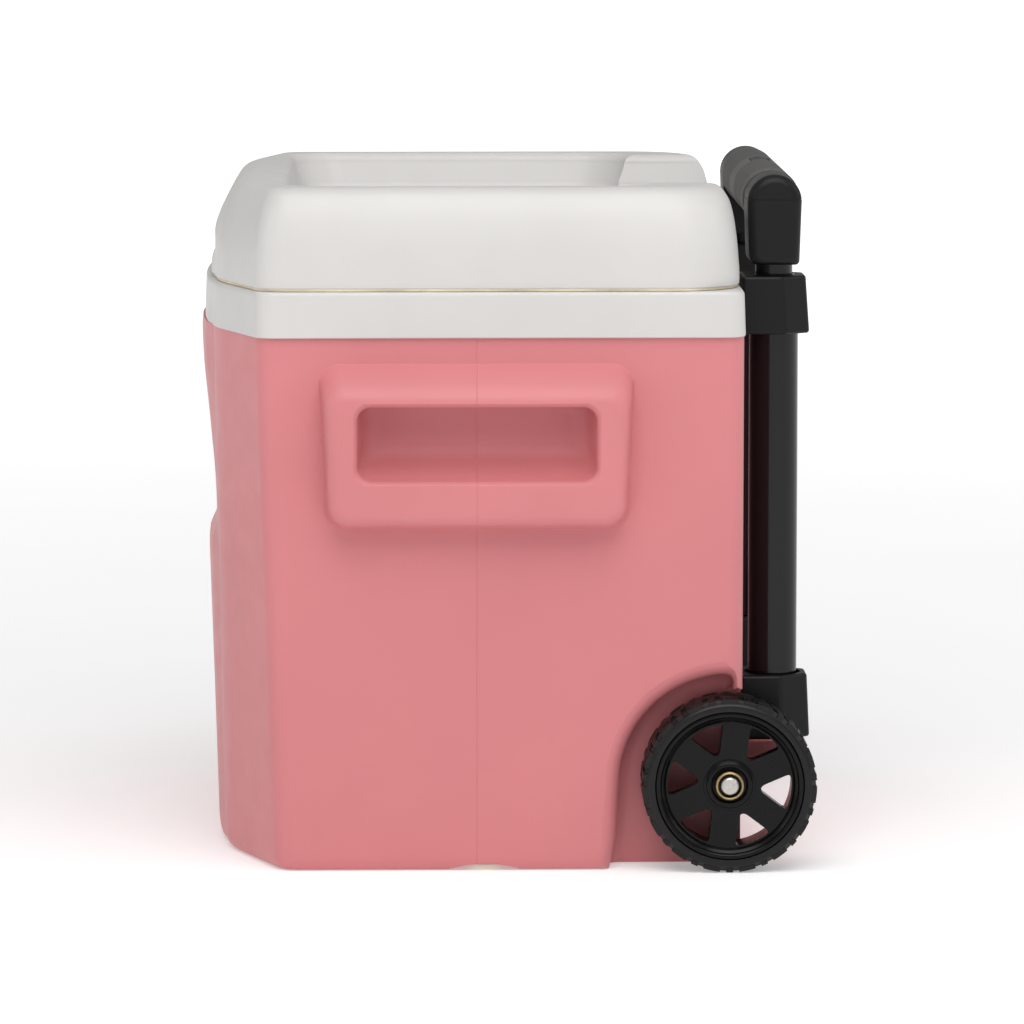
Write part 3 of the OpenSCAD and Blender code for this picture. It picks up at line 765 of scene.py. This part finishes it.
def rod(axis_point, radius, length, axis="X", segments=48):
    """Plain round cutter, centred on a point."""
    rings = []
    for s in (-length / 2, length / 2):
        ring = []
        for k in range(segments):
            a = 2 * math.pi * k / segments
            u, v = radius * math.cos(a), radius * math.sin(a)
            x, y, z = axis_point
            ring.append({"X": at(x + s, y + u, z + v), "Y": at(x + u, y + s, z + v),
                         "Z": at(x + u, y + v, z + s)}[axis])
        rings.append(ring)
    return loft("rod", rings)


def shell_inside(wall):
    """What the shell's walls leave for the foam, as one solid."""
    inside = loft_z("inside", [(z, body_outline(z, wall))
                               for z in [3.5] + spread(FOOT_RADIUS, RIM_BOTTOM + 1, 24)])
    inside = join(inside, boss(1, wall), boss(-1, wall))
    inside = cut(inside, pocket(1, wall), pocket(-1, wall), wheel_well(1, wall), wheel_well(-1, wall))
    tunnel = rod((0, WHEEL_Y, WHEEL_Z), 9, 2 * HALF_BODY)
    return cut(inside, tunnel)


SCREW_RISE = 8.5
SCREW_X = TUBE_X - 19.5
SCREW_SEAT = TUBE_Y + 6
SCREW_HOLE = 2
LOW_SCREW = (lower_low[2] + lower_high[2]) / 2
HIGH_SCREW = RIM_BOTTOM + 14
SCREW_SPOTS = [(side * SCREW_X, z + up) for side in (1, -1) for z in (LOW_SCREW, HIGH_SCREW)
               for up in (-SCREW_RISE, SCREW_RISE)]


def screw_holes(radius):
    """Cutters for the eight bracket screws."""
    return [rod((x, BACK, z), radius, 42, "Y", 24) for x, z in SCREW_SPOTS]


def make_foam():
    """Foam that fills the space between the shell and the food box."""
    gap = SHELL_WALL + 0.3
    foam = shell_inside(gap)
    neck = loft_z("neck", [(z, body_outline(RIM_BOTTOM, gap))
                           for z in (RIM_BOTTOM - 4, RIM_TOP - gap)])
    foam = cut(join(foam, neck), food_box(gap, BOX_FLOOR - gap, RIM_TOP + 6),
               *screw_holes(SCREW_HOLE + 0.2))
    finish_piece(foam, "Foam_core", "body", foam_stuff, ["foam_core"], 30)


def make_shell():
    """Pink outer shell with its pocket blocks, wheel wells, rear ledge and hollow feet."""
    levels = FOOT_LEVELS + spread(FOOT_RADIUS, RIM_BOTTOM - SEAM, 56)
    shell = loft_z("shell", [(z, body_outline(z)) for z in levels])
    shell = join(shell, boss(1), boss(-1), shelf())
    shell = cut(shell, pocket(1), pocket(-1), wheel_well(1), wheel_well(-1))
    shell = cut(shell, shell_inside(SHELL_WALL))
    shell = cut(shell, rod((0, WHEEL_Y, WHEEL_Z), AXLE_BORE, 3 * HALF_BODY))
    for side in (1, -1):
        shell = cut(shell, rod((side * (HALF_BODY - 12), 5, -70), 74, 34, segments=192))
    shell = cut(shell, *screw_holes(SCREW_HOLE))
    finish_piece(shell, "Body_shell", "body", pink_plastic, ["outer_shell"], angle=28)


# The white band's edge: (height above its bottom, inset), in mm.
RIM_PROFILE = [(0, -0.2), (0.4, -0.6), (1.4, -0.8), (24, -0.1), (26.6, 0), (27.9, 0.35), (28.8, 0.95),
               (29.3, 1.8), (RIM_HEIGHT, 3)]


def rim_outline(t):
    return plan(HALF_RIM - t, BACK - t, FRONT + CORNER_DEPTH + CORNER_SLANT * t, FRONT + t,
                FRONT - 7 + t, CORNER_LENGTH - CORNER_SHRINK * t, REAR_RADIUS)


BOX_X = HALF_BODY - 48
BOX_FRONT = FRONT + 32
BOX_BACK = BACK - 39
BOX_FLOOR = 40
BOX_WALL = 3


def food_box(wall, low, high):
    """Inside of the food box, grown by the wall: leaning sides and a rounded floor edge."""
    steps = []
    for k in range(7):
        a = math.radians(90 * k / 6)
        steps.append((low + 14 * (1 - math.cos(a)), 6 + 12 * (1 - math.sin(a)), 18 + 6 * k / 6))
    steps += [(z, 6 * (high - z) / (high - low), 24 + 4 * (z - low) / (high - low))
              for z in spread(low + 14, high, 8)[1:]]
    return loft_z("food_box", [(z, round_rect(-BOX_X + e - wall, BOX_X - e + wall, BOX_FRONT + e - wall,
                                              BOX_BACK - e + wall, r, 12)) for z, e, r in steps])


def make_liner():
    """White food box and the band round its rim, moulded in one."""
    liner = loft_z("liner", [(RIM_BOTTOM + dz, rim_outline(t)) for dz, t in RIM_PROFILE])
    hollow = loft_z("hollow", [(z, body_outline(RIM_BOTTOM, SHELL_WALL))
                               for z in (RIM_BOTTOM - 3, RIM_TOP - 3)])
    liner = cut(liner, hollow)
    liner = join(liner, food_box(BOX_WALL, BOX_FLOOR - BOX_WALL, RIM_TOP - 1))
    liner = cut(liner, food_box(0, BOX_FLOOR, RIM_TOP + 1), *screw_holes(SCREW_HOLE))
    finish_piece(liner, "Food_box_and_rim", "body", white_plastic, ["inner_liner"])


# ---- Lid --------------------------------------------------------------------------------

# How far each side of the lid is set in, in mm, at shares of its height.
LID_END = [(0, 1.6), (0.015, 0.7), (0.05, 0.4), (0.2, 0.9), (0.45, 2.2), (0.68, 5), (0.82, 8), (0.92, 12),
           (0.965, 15), (0.99, 18.5), (1, 22)]
LID_BACK = [(0, 3), (0.015, 2.1), (0.05, 1.8), (0.3, 2.6), (0.6, 4.6), (0.82, 7.6), (0.92, 11),
            (0.965, 13.6), (0.99, 17), (1, 20.5)]
LID_CORNER = [(0, 2), (0.015, 1.2), (0.05, 1), (0.3, 1.6), (0.55, 4.4), (0.68, 7), (0.82, 11), (0.92, 15),
              (0.965, 18), (0.99, 21.5), (1, 25)]
LID_FRONT = [(0, 2.6), (0.015, 3.4), (0.1, 3.2), (0.2, 1), (0.26, 0), (0.34, 0.2), (0.42, 0.8), (0.55, -1.6),
             (0.68, -5.4), (0.82, -10.5), (0.92, -15), (0.965, -18), (0.99, -21.5), (1, -25)]
LID_WALL = 3
GASKET_SHARE = 0.03


def lid_outline(share, wall=0):
    """Plan outline of the lid at a share of its height, moved inward by the wall."""
    e = smooth_lookup(share, LID_END) + wall
    b = smooth_lookup(share, LID_BACK) + wall
    v = smooth_lookup(share, LID_CORNER) + wall
    f = smooth_lookup(share, LID_FRONT) - wall
    return plan(HALF_RIM - e, BACK - b, FRONT + CORNER_DEPTH + v * 0.5, FRONT + v, FRONT - f,
                CORNER_LENGTH, 40, blends=(14, 26))


def lid_form(wall, low, high):
    """The lid's outer form, moved inward by the wall, between two heights."""
    shares = [0, 0.015, 0.05] + spread(0.08, 0.92, 34) + [0.935, 0.95, 0.965, 0.978, 0.99, 0.996, 1]
    steps = [(LID_BOTTOM + s * LID_HEIGHT, s) for s in shares]
    steps = [(z, s) for z, s in steps if low < z < high - 0.2]
    ends = [(low, max(0, (low - LID_BOTTOM) / LID_HEIGHT)), (high, (high - LID_BOTTOM) / LID_HEIGHT)]
    return loft_z("lid", [(z, lid_outline(s, wall)) for z, s in [ends[0]] + steps + [ends[1]]])


TRAY_DEPTH = 26
TRAY_FLOOR = LID_TOP - TRAY_DEPTH
TRAY_X = HALF_RIM - 38
TRAY_FRONT = FRONT + 50
TRAY_BACK = BACK - 63
SCOOP_X = TRAY_X - 30
SCOOP_RISE = 1.5


def hollow_steps(depth, floor_radius, lip_radius, lean):
    """(height above the floor, inset) steps: rounded floor edge, leaning wall, rounded lip."""
    steps = []
    for k in range(7):
        a = math.radians(90 * k / 6)
        steps.append((floor_radius * (1 - math.cos(a)), lean + floor_radius * (1 - math.sin(a))))
    top = depth - lip_radius
    for k in range(9):
        a = math.radians(90 * k / 8)
        steps.append((top + lip_radius * math.sin(a), -lip_radius * (1 - math.cos(a))))
    return steps + [(depth + 2, -lip_radius - 4)]


def tray(grow=0):
    """Cutter for the tray."""
    return loft_z("tray", [
        (TRAY_FLOOR - grow + h, round_rect(-TRAY_X + e - grow, TRAY_X - e + grow, TRAY_FRONT + e - grow,
                                           TRAY_BACK - e + grow, 32 - 0.5 * e, 12))
        for h, e in hollow_steps(TRAY_DEPTH + grow, 8, 7, 4)])


def scoop(grow=0):
    """Cutter for the finger space behind the tray, open to the back."""
    return loft_z("scoop", [
        (TRAY_FLOOR + SCOOP_RISE - grow + h, round_rect(-SCOOP_X + e - grow, SCOOP_X - e + grow,
                                                        TRAY_BACK - 60, BACK + 40, 20))
        for h, e in hollow_steps(TRAY_DEPTH - SCOOP_RISE + grow, 6, 6, 4)])


def make_lid():
    """Lid shell: hollow below, with the tray and the finger space sunk into its top."""
    lid = lid_form(0, LID_BOTTOM, LID_TOP)
    inside = lid_form(LID_WALL, LID_BOTTOM - 1, LID_TOP - LID_WALL)
    inside = cut(inside, tray(LID_WALL), scoop(LID_WALL))
    lid = cut(lid, tray(), scoop(), inside)
    finish_piece(lid, "Lid_shell", "lid", white_plastic, ["lid_shell"], angle=30)


def make_seal():
    """Gasket between lid and rim; its tan colour is painted shadow with a warm painted reflection, so that it
    shows as the gap's fine shadow line.
    """
    low, high = RIM_TOP + SEAM, LID_BOTTOM
    seal = loft_z("seal", [(z, lid_outline(GASKET_SHARE, w))
                           for z, w in ((low, 1.6), (low + 0.4, 1.1), (high, 1.1))])
    inside = round_rect(-BOX_X - 6, BOX_X + 6, BOX_FRONT - 4, BOX_BACK + 6, 30, 12)
    seal = cut(seal, loft_z("hole", [(z, inside) for z in (low - 1, high + 1)]))
    finish_piece(seal, "Lid_seal", "lid", seal_rubber, ["lid_seal"])


def make_pan():
    """White plate and plug that close the lid from below."""
    plate = loft_z("pan", [(LID_BOTTOM + h, lid_outline(GASKET_SHARE, LID_WALL + 0.2)) for h in (0, 3)])
    inset, low = 5, LID_BOTTOM - 9.5
    ring = loft_z("plug", [(z, round_rect(-BOX_X + inset + e, BOX_X - inset - e, BOX_FRONT + inset + e,
                                          BOX_BACK - inset - e, 23, 12))
                           for z, e in ((low, 1.6), (low + 0.6, 0.6), (low + 1.8, 0), (LID_BOTTOM + 1, 0))])
    hole = loft_z("hole", [(z, round_rect(-BOX_X + 8, BOX_X - 8, BOX_FRONT + 8, BOX_BACK - 8, 20, 12))
                           for z in (low - 1, LID_BOTTOM - 0.5)])
    pan = join(plate, cut(ring, hole))
    finish_piece(pan, "Lid_pan", "lid", white_plastic, ["lid_pan"])


# ---- Wheels -----------------------------------------------------------------------------

SPOKES = 6
SPOKE_HALF = 8.7
SPOKE_START = 83
WINDOW_RADIUS = 39.8


def window_outline(middle):
    """One opening between two spokes, as (Y, Z) offsets from the axle."""
    outer, reach = WINDOW_RADIUS, 2 * SPOKE_HALF
    t = math.sqrt(outer ** 2 - SPOKE_HALF ** 2)
    side = (0.866 * t + 0.5 * SPOKE_HALF, 0.5 * t - 0.866 * SPOKE_HALF)
    edge = math.degrees(math.atan2(side[1], side[0]))
    low, high = (side[0], -side[1]), side
    rim = arc(0, 0, outer, -edge + 5, edge - 5, 10)
    points = soft_corner(low, (reach, 0), high, 7, 8)
    points += soft_corner((reach, 0), high, rim[-1], 3, 5) + rim[::-1][1:-1]
    points += soft_corner(rim[0], low, (reach, 0), 3, 5)
    c, s = math.cos(math.radians(middle)), math.sin(math.radians(middle))
    return [(u * c - v * s, u * s + v * c) for u, v in points]


def make_rim(side, name):
    """Spoked rim: a flared barrel, a web with six windows, a hub, and a mould mark.

    Its profiles are (distance from the wheel's inner face, radius).
    """
    start = side * WHEEL_INNER
    axle = (start, WHEEL_Y, WHEEL_Z)
    web = lathe("web", [(20, 12.7), (32, 12.7), (32, 40.95), (20, 40.95)], axle, side=side)
    for k in range(SPOKES):
        outline = window_outline(SPOKE_START + 30 + 60 * k)
        web = cut(web, loft("window", [[at(start + side * d, WHEEL_Y + u, WHEEL_Z + v) for u, v in outline]
                                       for d in (15, 40)]))
    barrel = lathe("barrel", [(1.5, 41), (1.5, 48), (35.4, 48), (36.5, 47.7), (37.2, 47.1), (37.5, 46.2),
                              (37.4, 45.3), (36.9, 44.6), (36.0, 44.1), (35.3, 43.5), (34.5, 42.4),
                              (33.2, 41.3), (31.4, 40.6), (19, 40.4), (9, 40.7)],
                   axle, side=side, segments=128)
    hub = lathe("hub", [(-1.5, AXLE_BORE), (-1.5, 13.5), (-1, 14), (22, 14.3), (30.2, 17.6), (32.4, 16.6),
                        (32.5, 15.9), (32.9, 15), (33.6, 14.5), (34, 13.7), (34, 12.6), (33.8, 11.9),
                        (33.2, 11.3), (32, 11), (30.5, 11), (30.3, 10.6), (30.3, AXLE_BORE)],
                axle, side=side)
    mark_angle, mark_out = math.radians(SPOKE_START + 180), 20.6
    mark = lathe("mark", [(31.5, 1.3), (32.3, 1.3), (32.4, 1.45), (32.4, 1.75), (32.3, 1.9), (31.5, 1.9)],
                 (start, WHEEL_Y + mark_out * math.cos(mark_angle),
                  WHEEL_Z + mark_out * math.sin(mark_angle)), side=side, segments=32)
    web = soften(join(web, hub), 0.9, 3, 50)
    rim = merged("rim", barrel, web, mark)
    where = "right" if side > 0 else "left"
    finish_piece(rim, name, "wheel_" + where, wheel_plastic, ["wheel_rim_" + where], 30)


LUGS = 15
LUG_DEPTH = 0.65


def lug(along0, along1, half_angle, sunk_face):
    """One tread block on a wheel round the X axis, some with a sunk face; it faces +Y."""
    def block(x0, x1, a, r0, r1):
        rings = []
        for x in (x0, x1):
            low = [(r0 * math.cos(t), r0 * math.sin(t)) for t in
                   (math.radians(v) for v in spread(-a, a, 6))]
            high = [(r1 * math.cos(t), r1 * math.sin(t)) for t in
                    (math.radians(v) for v in spread(a, -a, 6))]
            rings.append([Vector((x * MM, y * MM, z * MM)) for y, z in low + high])
        return loft("lug", rings)
    top = WHEEL_RADIUS
    body = block(along0, along1, half_angle, top - 3, top)
    if sunk_face:
        body = cut(body, block(along0 + 1.6, along1 - 1.6, half_angle - 1.6, top - 0.45, top + 1))
    return soften(body, 0.25, 2, 35)


def make_tyre(side, name, tree):
    """Hard tyre with two rows of wide and narrow lugs, half a pitch apart."""
    width = WHEEL_WIDTH - TYRE_INSET
    start = side * WHEEL_INNER
    base = WHEEL_RADIUS - LUG_DEPTH
    centre = (start, WHEEL_Y, WHEEL_Z)
    half = [(0.5, 48.05), (0.3, 48.4), (0.3, 51), (0.55, 52), (1.3, 53), (2.4, 53.7), (4, base)]
    groove = [(width / 2 - 1, base), (width / 2 - 0.8, base - 0.8), (width / 2 + 0.8, base - 0.8)]
    profile = half + groove + [(width + TYRE_INSET - a, r) for a, r in reversed(half)]
    tyre = lathe("tyre", profile, centre, side=side, segments=180)
    tyre.data.materials.append(tread_plastic)
    rows = []
    for k, (a0, a1) in enumerate(((1.4, 18.2), (19.8, 36.6))):
        x0, x1 = sorted((side * a0, side * a1))
        for turn, half_angle, wide in ((6, 5.6, True), (18, 2.3, False)):
            rows.append(repeated("row", tree, lug(x0, x1, half_angle, wide), tread_plastic, Count=LUGS,
                                 Start=math.radians(12 * k + turn), Centre=tuple(at(*centre))))
    tyre = merged("tyre_all", tyre, *rows)
    where = "right" if side > 0 else "left"
    finish_piece(tyre, name, "wheel_" + where, tread_plastic, ["tyre_" + where], 30)


def make_axle():
    """Steel rod through both wheels, with rounded ends."""
    end = WHEEL_INNER + WHEEL_WIDTH + 0.5
    half = [(end - 0.9, AXLE_RADIUS), (end - 0.25, 5.1), (end, 4.7)]
    steps = [(-x, r) for x, r in reversed(half)] + half
    rings = [[at(x, WHEEL_Y + r * math.cos(a), WHEEL_Z + r * math.sin(a))
              for a in (2 * math.pi * k / 64 for k in range(64))] for x, r in steps]
    finish_piece(loft("axle", rings), "Axle_rod", "body", axle_steel, ["axle"], 30)


def make_nuts():
    """Pressed-on brass caps at both ends of the axle."""
    nuts = []
    for side in (1, -1):
        centre = (side * (WHEEL_INNER + 34.3), WHEEL_Y, WHEEL_Z)
        profile = [(0, 7.6), (0, 9), (0.3, 9.3), (1.4, 9.3), (2.1, 9.05), (2.5, 8.6), (2.6, 8.2),
                   (2.4, 7.7), (1.9, 7.4), (0.9, 7.4)]
        nuts.append(lathe("nut", profile, centre, side=side))
    finish_piece(merged("nuts", *nuts), "Push_nuts", "body", nut_brass, ["push_nuts"], 30)


# ---- Telescopic handle ------------------------------------------------------------------

def tube(side, name, node, body, outer, inner, z0, z1, hole=None):
    """One stage of a leg, with rounded rims and a lock hole at a height."""
    wall = outer - inner
    edge = min(0.35, wall / 3)
    profile = [(z0, inner + edge), (z0, outer - edge), (z0 + edge, outer), (z1 - edge, outer),
               (z1, outer - edge), (z1, inner + edge), (z1 - edge, inner), (z0 + edge, inner)]
    obj = lathe(name, profile, (side * TUBE_X, TUBE_Y, 0), axis="Z", segments=96)
    if hole:
        obj = cut(obj, rod((side * (TUBE_X - outer), TUBE_Y, hole), 3, 1.2 * outer))
    finish_piece(obj, name, body, tube_coat, [node], 30)


FIXED_LOCK = 254
MIDDLE_LOCK = 256
BRACKET_HALF = 24
BRACKET_GAP = 0.9


def bracket(name, node, side, low, high, reach, lip, lip_from, flare):
    """Clamp block that holds a fixed tube against the body's back.

    reach is how far it stands out behind the tube. The wide bore ends at lip_from, where a
    lip of its own bore, or an open socket if there is none, goes on to the top.
    """
    half, front = BRACKET_HALF, BACK + BRACKET_GAP
    outline = [(-half, front), (half, front), (half, TUBE_Y + 4), (12, TUBE_Y + reach),
               (-12, TUBE_Y + reach), (-half, TUBE_Y + 4)]
    mid_y = (BACK + TUBE_Y) / 2
    rings = []
    for z, grow in ((low, flare), (high - 2, 0), (high, 0)):
        rings.append([at(side * TUBE_X + x * (1 + 0.3 * grow), y if y < mid_y else y + grow * 20, z)
                      for x, y in outline])
    block = soften(loft(name, rings), 2.4, 4, 20)
    block = cut(block, rod((side * TUBE_X, TUBE_Y, (low + lip_from) / 2 - 20), BRACKET_BORE,
                           lip_from - low + 40, "Z", 96))
    if lip:
        block = cut(block, rod((side * TUBE_X, TUBE_Y, high), lip, 40, "Z", 96))
    else:
        block = cut(block, rod((side * TUBE_X, TUBE_Y, high + 7), BRACKET_BORE + 2.4, 20, "Z", 96))
    for x, z in SCREW_SPOTS:
        if low < z < high and x * side > 0:
            block = cut(block, rod((x, SCREW_SEAT + 20, z), 4, 40, "Y", 40),
                        rod((x, TUBE_Y, z), SCREW_HOLE - 0.02, 80, "Y", 24))
    finish_piece(block, name, "body", black_plastic, [node], 30)


def screw_piece():
    """Pan-head screw with a cross recess: its head faces +Y and its seat is at the origin."""
    rings = []
    for y, r in ((-38, 0.6), (-36, 1.9), (-0.4, 1.9), (0.02, 2.2), (0.02, 3.5), (0.5, 3.6), (1.1, 3.4),
                 (1.6, 2.9), (1.9, 2.1), (2.0, 1.2)):
        rings.append([Vector((r * math.cos(a) * MM, y * MM, r * math.sin(a) * MM))
                      for a in (2 * math.pi * k / 40 for k in range(40))])
    screw = loft("screw", rings)
    for w, h in ((1.9, 0.42), (0.42, 1.9)):
        ring = [(-w, -h), (w, -h), (w, h), (-w, h)]
        screw = cut(screw, loft("cross", [[Vector((x * s * MM, y * MM, z * s * MM)) for x, z in ring]
                                          for y, s in ((0.7, 0.6), (2.5, 1.1))]))
    return screw


def make_screws(tree):
    """Eight screws: two, one above the other, in each bracket."""
    rows = []
    for side in (1, -1):
        for z in (LOW_SCREW, HIGH_SCREW):
            first = at(side * SCREW_X, SCREW_SEAT, z - SCREW_RISE)
            rows.append(repeated("row", tree, screw_piece(), screw_steel, Count=2, First=tuple(first),
                                 Step=(0, 0, 2 * SCREW_RISE * MM)))
    finish_piece(merged("screws", *rows), "Bracket_screws", "body", screw_steel,
                 ["bracket_screws"], 30)


CAP_RADIUS = (cap_high[1] - cap_low[1]) / 2
CAP_BOTTOM = cap_low[2]
CAP_ROUND = 6.5


def cap_outline(inset):
    """Grip end in Y and Z: round above, slightly tapered to a flat bottom."""
    r = CAP_RADIUS - inset
    low = CAP_BOTTOM + 0.6 * inset
    top = arc(GRIP_Y, GRIP_Z, r, 0, 180, 36)
    taper = 1.4
    right, left = GRIP_Y + r - taper, GRIP_Y - r + taper
    points = top + soft_corner(top[-1], (left, low), (right, low), 6.5, 6)
    return points + soft_corner((left, low), (right, low), top[0], 3, 5)


def make_cap(side, name, node):
    """Grip end that takes the inner tube below and the grip's core beside it."""
    x0, x1 = cap_low[0], cap_high[0]

    def form(inset):
        steps = [(x0 + inset, inset + 0.8), (x0 + 0.3 + inset, inset + 0.25), (x0 + 0.9 + inset, inset)]
        for k in range(8):
            a = math.radians(90 * k / 7)
            steps.append((x1 - CAP_ROUND + (CAP_ROUND - inset) * math.sin(a),
                          inset + (CAP_ROUND - inset) * (1 - math.cos(a))))
        return loft_x("cap", [(x, cap_outline(i)) for x, i in steps], side)

    seam_z, seam_width, seam_depth = GRIP_Z + 1.4, 0.55, 0.35
    slab = rod((side * (x0 + x1) / 2, GRIP_Y, seam_z), 80, seam_width, "Z", 24)
    cap = cut(form(0), cut(slab, form(seam_depth)))
    core_hole = rod((side * (x0 - 0.5), GRIP_Y, GRIP_Z), SLEEVE_BORE - 0.05,
                    2 * (TUBE_X - 14 + 0.6 - x0), segments=64)
    tube_hole = rod((side * TUBE_X, TUBE_Y, inner_high[2] - 50),
                    (inner_high[0] - inner_low[0]) / 2 + 0.05, 100, "Z", 64)
    cap = cut(cap, core_hole, tube_hole)
    finish_piece(cap, name, "handle_top", black_plastic, [node], 28)


RIB_PITCH = 7.0
RIB_DEPTH = 1.5
PLAIN_END = 12
PLAIN_MIDDLE = 21
BUTTON_X, BUTTON_Y = 15, 6


def make_grip():
    """Ribbed sleeve: even round ribs with a plain band at each end and round the button."""
    x_end = sleeve_high[0]
    low_r = GRIP_RADIUS - RIB_DEPTH
    profile = [(-x_end, SLEEVE_BORE), (-x_end, GRIP_RADIUS - 0.9), (-x_end + 0.35, GRIP_RADIUS - 0.25),
               (-x_end + 1, GRIP_RADIUS)]
    count = int((2 * x_end - 2 * PLAIN_END) / RIB_PITCH)
    for k in range(count + 1):
        x = -x_end + PLAIN_END + k * RIB_PITCH
        if abs(x) < PLAIN_MIDDLE:
            continue
        profile += [(x - 2.2, GRIP_RADIUS), (x - 1.6, GRIP_RADIUS - 0.25), (x - 1.2, low_r), (x + 1.2, low_r),
                    (x + 1.6, GRIP_RADIUS - 0.25), (x + 2.2, GRIP_RADIUS)]
    profile += [(x_end - 1, GRIP_RADIUS), (x_end - 0.35, GRIP_RADIUS - 0.25), (x_end, GRIP_RADIUS - 0.9),
                (x_end, SLEEVE_BORE)]
    sleeve = lathe("sleeve", profile, (0, GRIP_Y, GRIP_Z), segments=120)
    opening = round_rect(-BUTTON_X - 0.5, BUTTON_X + 0.5, -BUTTON_Y - 0.5, BUTTON_Y + 0.5, 2.6, 6)
    slot = loft("slot", [[at(x, GRIP_Y + y, z) for x, y in opening]
                         for z in (GRIP_Z + 9, GRIP_Z + 30)])
    sleeve = cut(sleeve, slot)
    finish_piece(sleeve, "Grip_sleeve", "handle_top", grip_rubber, ["grip_sleeve"], 28)


def make_button():
    """Release button, flush with the grip and rounded as it is."""
    rings = []
    for z_in, e in ((None, 0), (0.8, 0), (0.3, 0.25), (0, 0.9)):
        ring = []
        for x, y in round_rect(-BUTTON_X + e, BUTTON_X - e, -BUTTON_Y + e, BUTTON_Y - e, 2.4, 6):
            top = GRIP_Z + math.sqrt(max(1, GRIP_RADIUS ** 2 - y ** 2))
            ring.append(at(x, GRIP_Y + y, GRIP_Z + 4 if z_in is None else top - z_in))
        rings.append(ring)
    finish_piece(loft("button", rings), "Release_button", "button", black_plastic,
                 ["release_button"], 28)


def build_all():
    """Makes every finished piece."""
    make_shell()
    make_foam()
    make_liner()
    make_lid()
    make_pan()
    make_seal()
    ring, row = ring_tree(), row_tree()
    for side, where in ((1, "right"), (-1, "left")):
        make_rim(side, "Wheel_" + where)
        make_tyre(side, "Tyre_" + where, ring)
        tube(side, "Fixed_tube_" + where, "outer_tube_" + where, "body", tube_high[0] - TUBE_X,
             FIXED_BORE, tube_low[2], tube_high[2], tube_low[2] + FIXED_LOCK)
        tube(side, "Middle_tube_" + where, "mid_tube_" + where, "handle_mid", mid_high[0] - TUBE_X,
             MIDDLE_BORE, mid_low[2], mid_high[2], tube_low[2] + MIDDLE_LOCK)
        tube(side, "Inner_tube_" + where, "inner_tube_" + where, "handle_top", inner_high[0] - TUBE_X,
             INNER_BORE, inner_low[2], inner_high[2])
        bracket("Lower_bracket_" + where, "lower_bracket_" + where, side, lower_low[2], lower_high[2],
                22, None, lower_high[2] + 5, 0.09)
        bracket("Upper_bracket_" + where, "upper_bracket_" + where, side, upper_low[2], upper_high[2],
                20, FIXED_BORE, tube_high[2], 0.12)
        make_cap(side, "Grip_end_" + where, "grip_cap_" + where)
    make_axle()
    make_nuts()
    make_screws(row)
    make_grip()
    make_button()


build_all()

for part in frame["record"]["subparts"]:
    cad = frame["nodes"][part["node"]]
    cad.data.materials.clear()
    cad.data.materials.append(MATERIALS[part["material_slot"]])


# ---- Stage, light and camera ------------------------------------------------------------

SKY = 0.42
FLOOR_REACH = 90
GLOW_FROM, GLOW_TO = 0.7, 4.5
CAMERA_PLACE = (4.118, -0.0783, 0.688)
CAMERA_LENS = 216.7
CAMERA_DOWN, CAMERA_TURN = 6.655, 1.2


def make_floor():
    """Pale floor with a painted glow: its emission is dim near the object, as painted shade, and brightens to
    white away from it.
    """
    reach = FLOOR_REACH
    ring = [(-reach, -reach), (reach, -reach), (reach, reach), (-reach, reach)]
    floor = loft("Floor", [[Vector((x, y, z)) for x, y in ring] for z in (-0.05, -0.0004)])
    net = Net("studio_floor")
    tone = net.band(net.noise(3, 2), 0.3, 0.7, 0, 1)
    away = net.make("ShaderNodeVectorMath", {0: net.coords}, output=1, operation="LENGTH")
    # Painted glow: the floor's emission is dimmest round the object, as painted shade there, and white
    # further out, as painted light.
    glow = net.blend(net.band(away, GLOW_FROM, GLOW_TO, 0, 1), (0.30, 0.30, 0.30, 1), (0.9, 0.9, 0.9, 1))
    net.set(color=net.blend(tone, (0.80, 0.80, 0.80, 1), (0.82, 0.82, 0.82, 1)), rough=0.8,
            specular=0.1, glow=glow, glow_strength=1.0)
    floor.data.materials.append(net.material)


def area_light(name, place, target, width, height, power):
    """Soft rectangular light in metres and watts, turned to its target."""
    data = bpy.data.lights.new(name, "AREA")
    data.shape = "RECTANGLE"
    data.size, data.size_y = width, height
    data.energy = power
    light = bpy.data.objects.new(name, data)
    light.location = place
    light.rotation_euler = (Vector(target) - Vector(place)).to_track_quat("-Z", "Y").to_euler()
    bpy.context.scene.collection.objects.link(light)


def make_light():
    world = bpy.data.worlds.new("studio")
    bpy.context.scene.world = world
    world.use_nodes = True
    back = world.node_tree.nodes["Background"]
    back.inputs["Color"].default_value = (1, 1, 1, 1)
    back.inputs["Strength"].default_value = SKY
    middle = (0, 0, 0.22)
    area_light("Key_above", (1.5, 0.1, 2.2), middle, 2.2, 2.2, 46)
    area_light("Front_fill", (1.4, -2.6, 1.4), middle, 1.4, 1.4, 7)
    area_light("Back_edge", (0.4, 2.4, 1.7), middle, 1.2, 1.6, 9)


def make_camera():
    data = bpy.data.cameras.new("Camera")
    data.lens = CAMERA_LENS
    data.sensor_width = 36
    data.clip_end = 50
    camera = bpy.data.objects.new("Camera", data)
    camera.location = CAMERA_PLACE
    down, turn = math.radians(CAMERA_DOWN), math.radians(CAMERA_TURN)
    direction = Vector((-math.cos(down) * math.cos(turn), math.cos(down) * math.sin(turn), -math.sin(down)))
    camera.rotation_euler = direction.to_track_quat("-Z", "Y").to_euler()
    bpy.context.scene.collection.objects.link(camera)
    bpy.context.scene.camera = camera


make_floor()
make_light()
make_camera()
bpy.context.scene.view_settings.view_transform = "Standard"
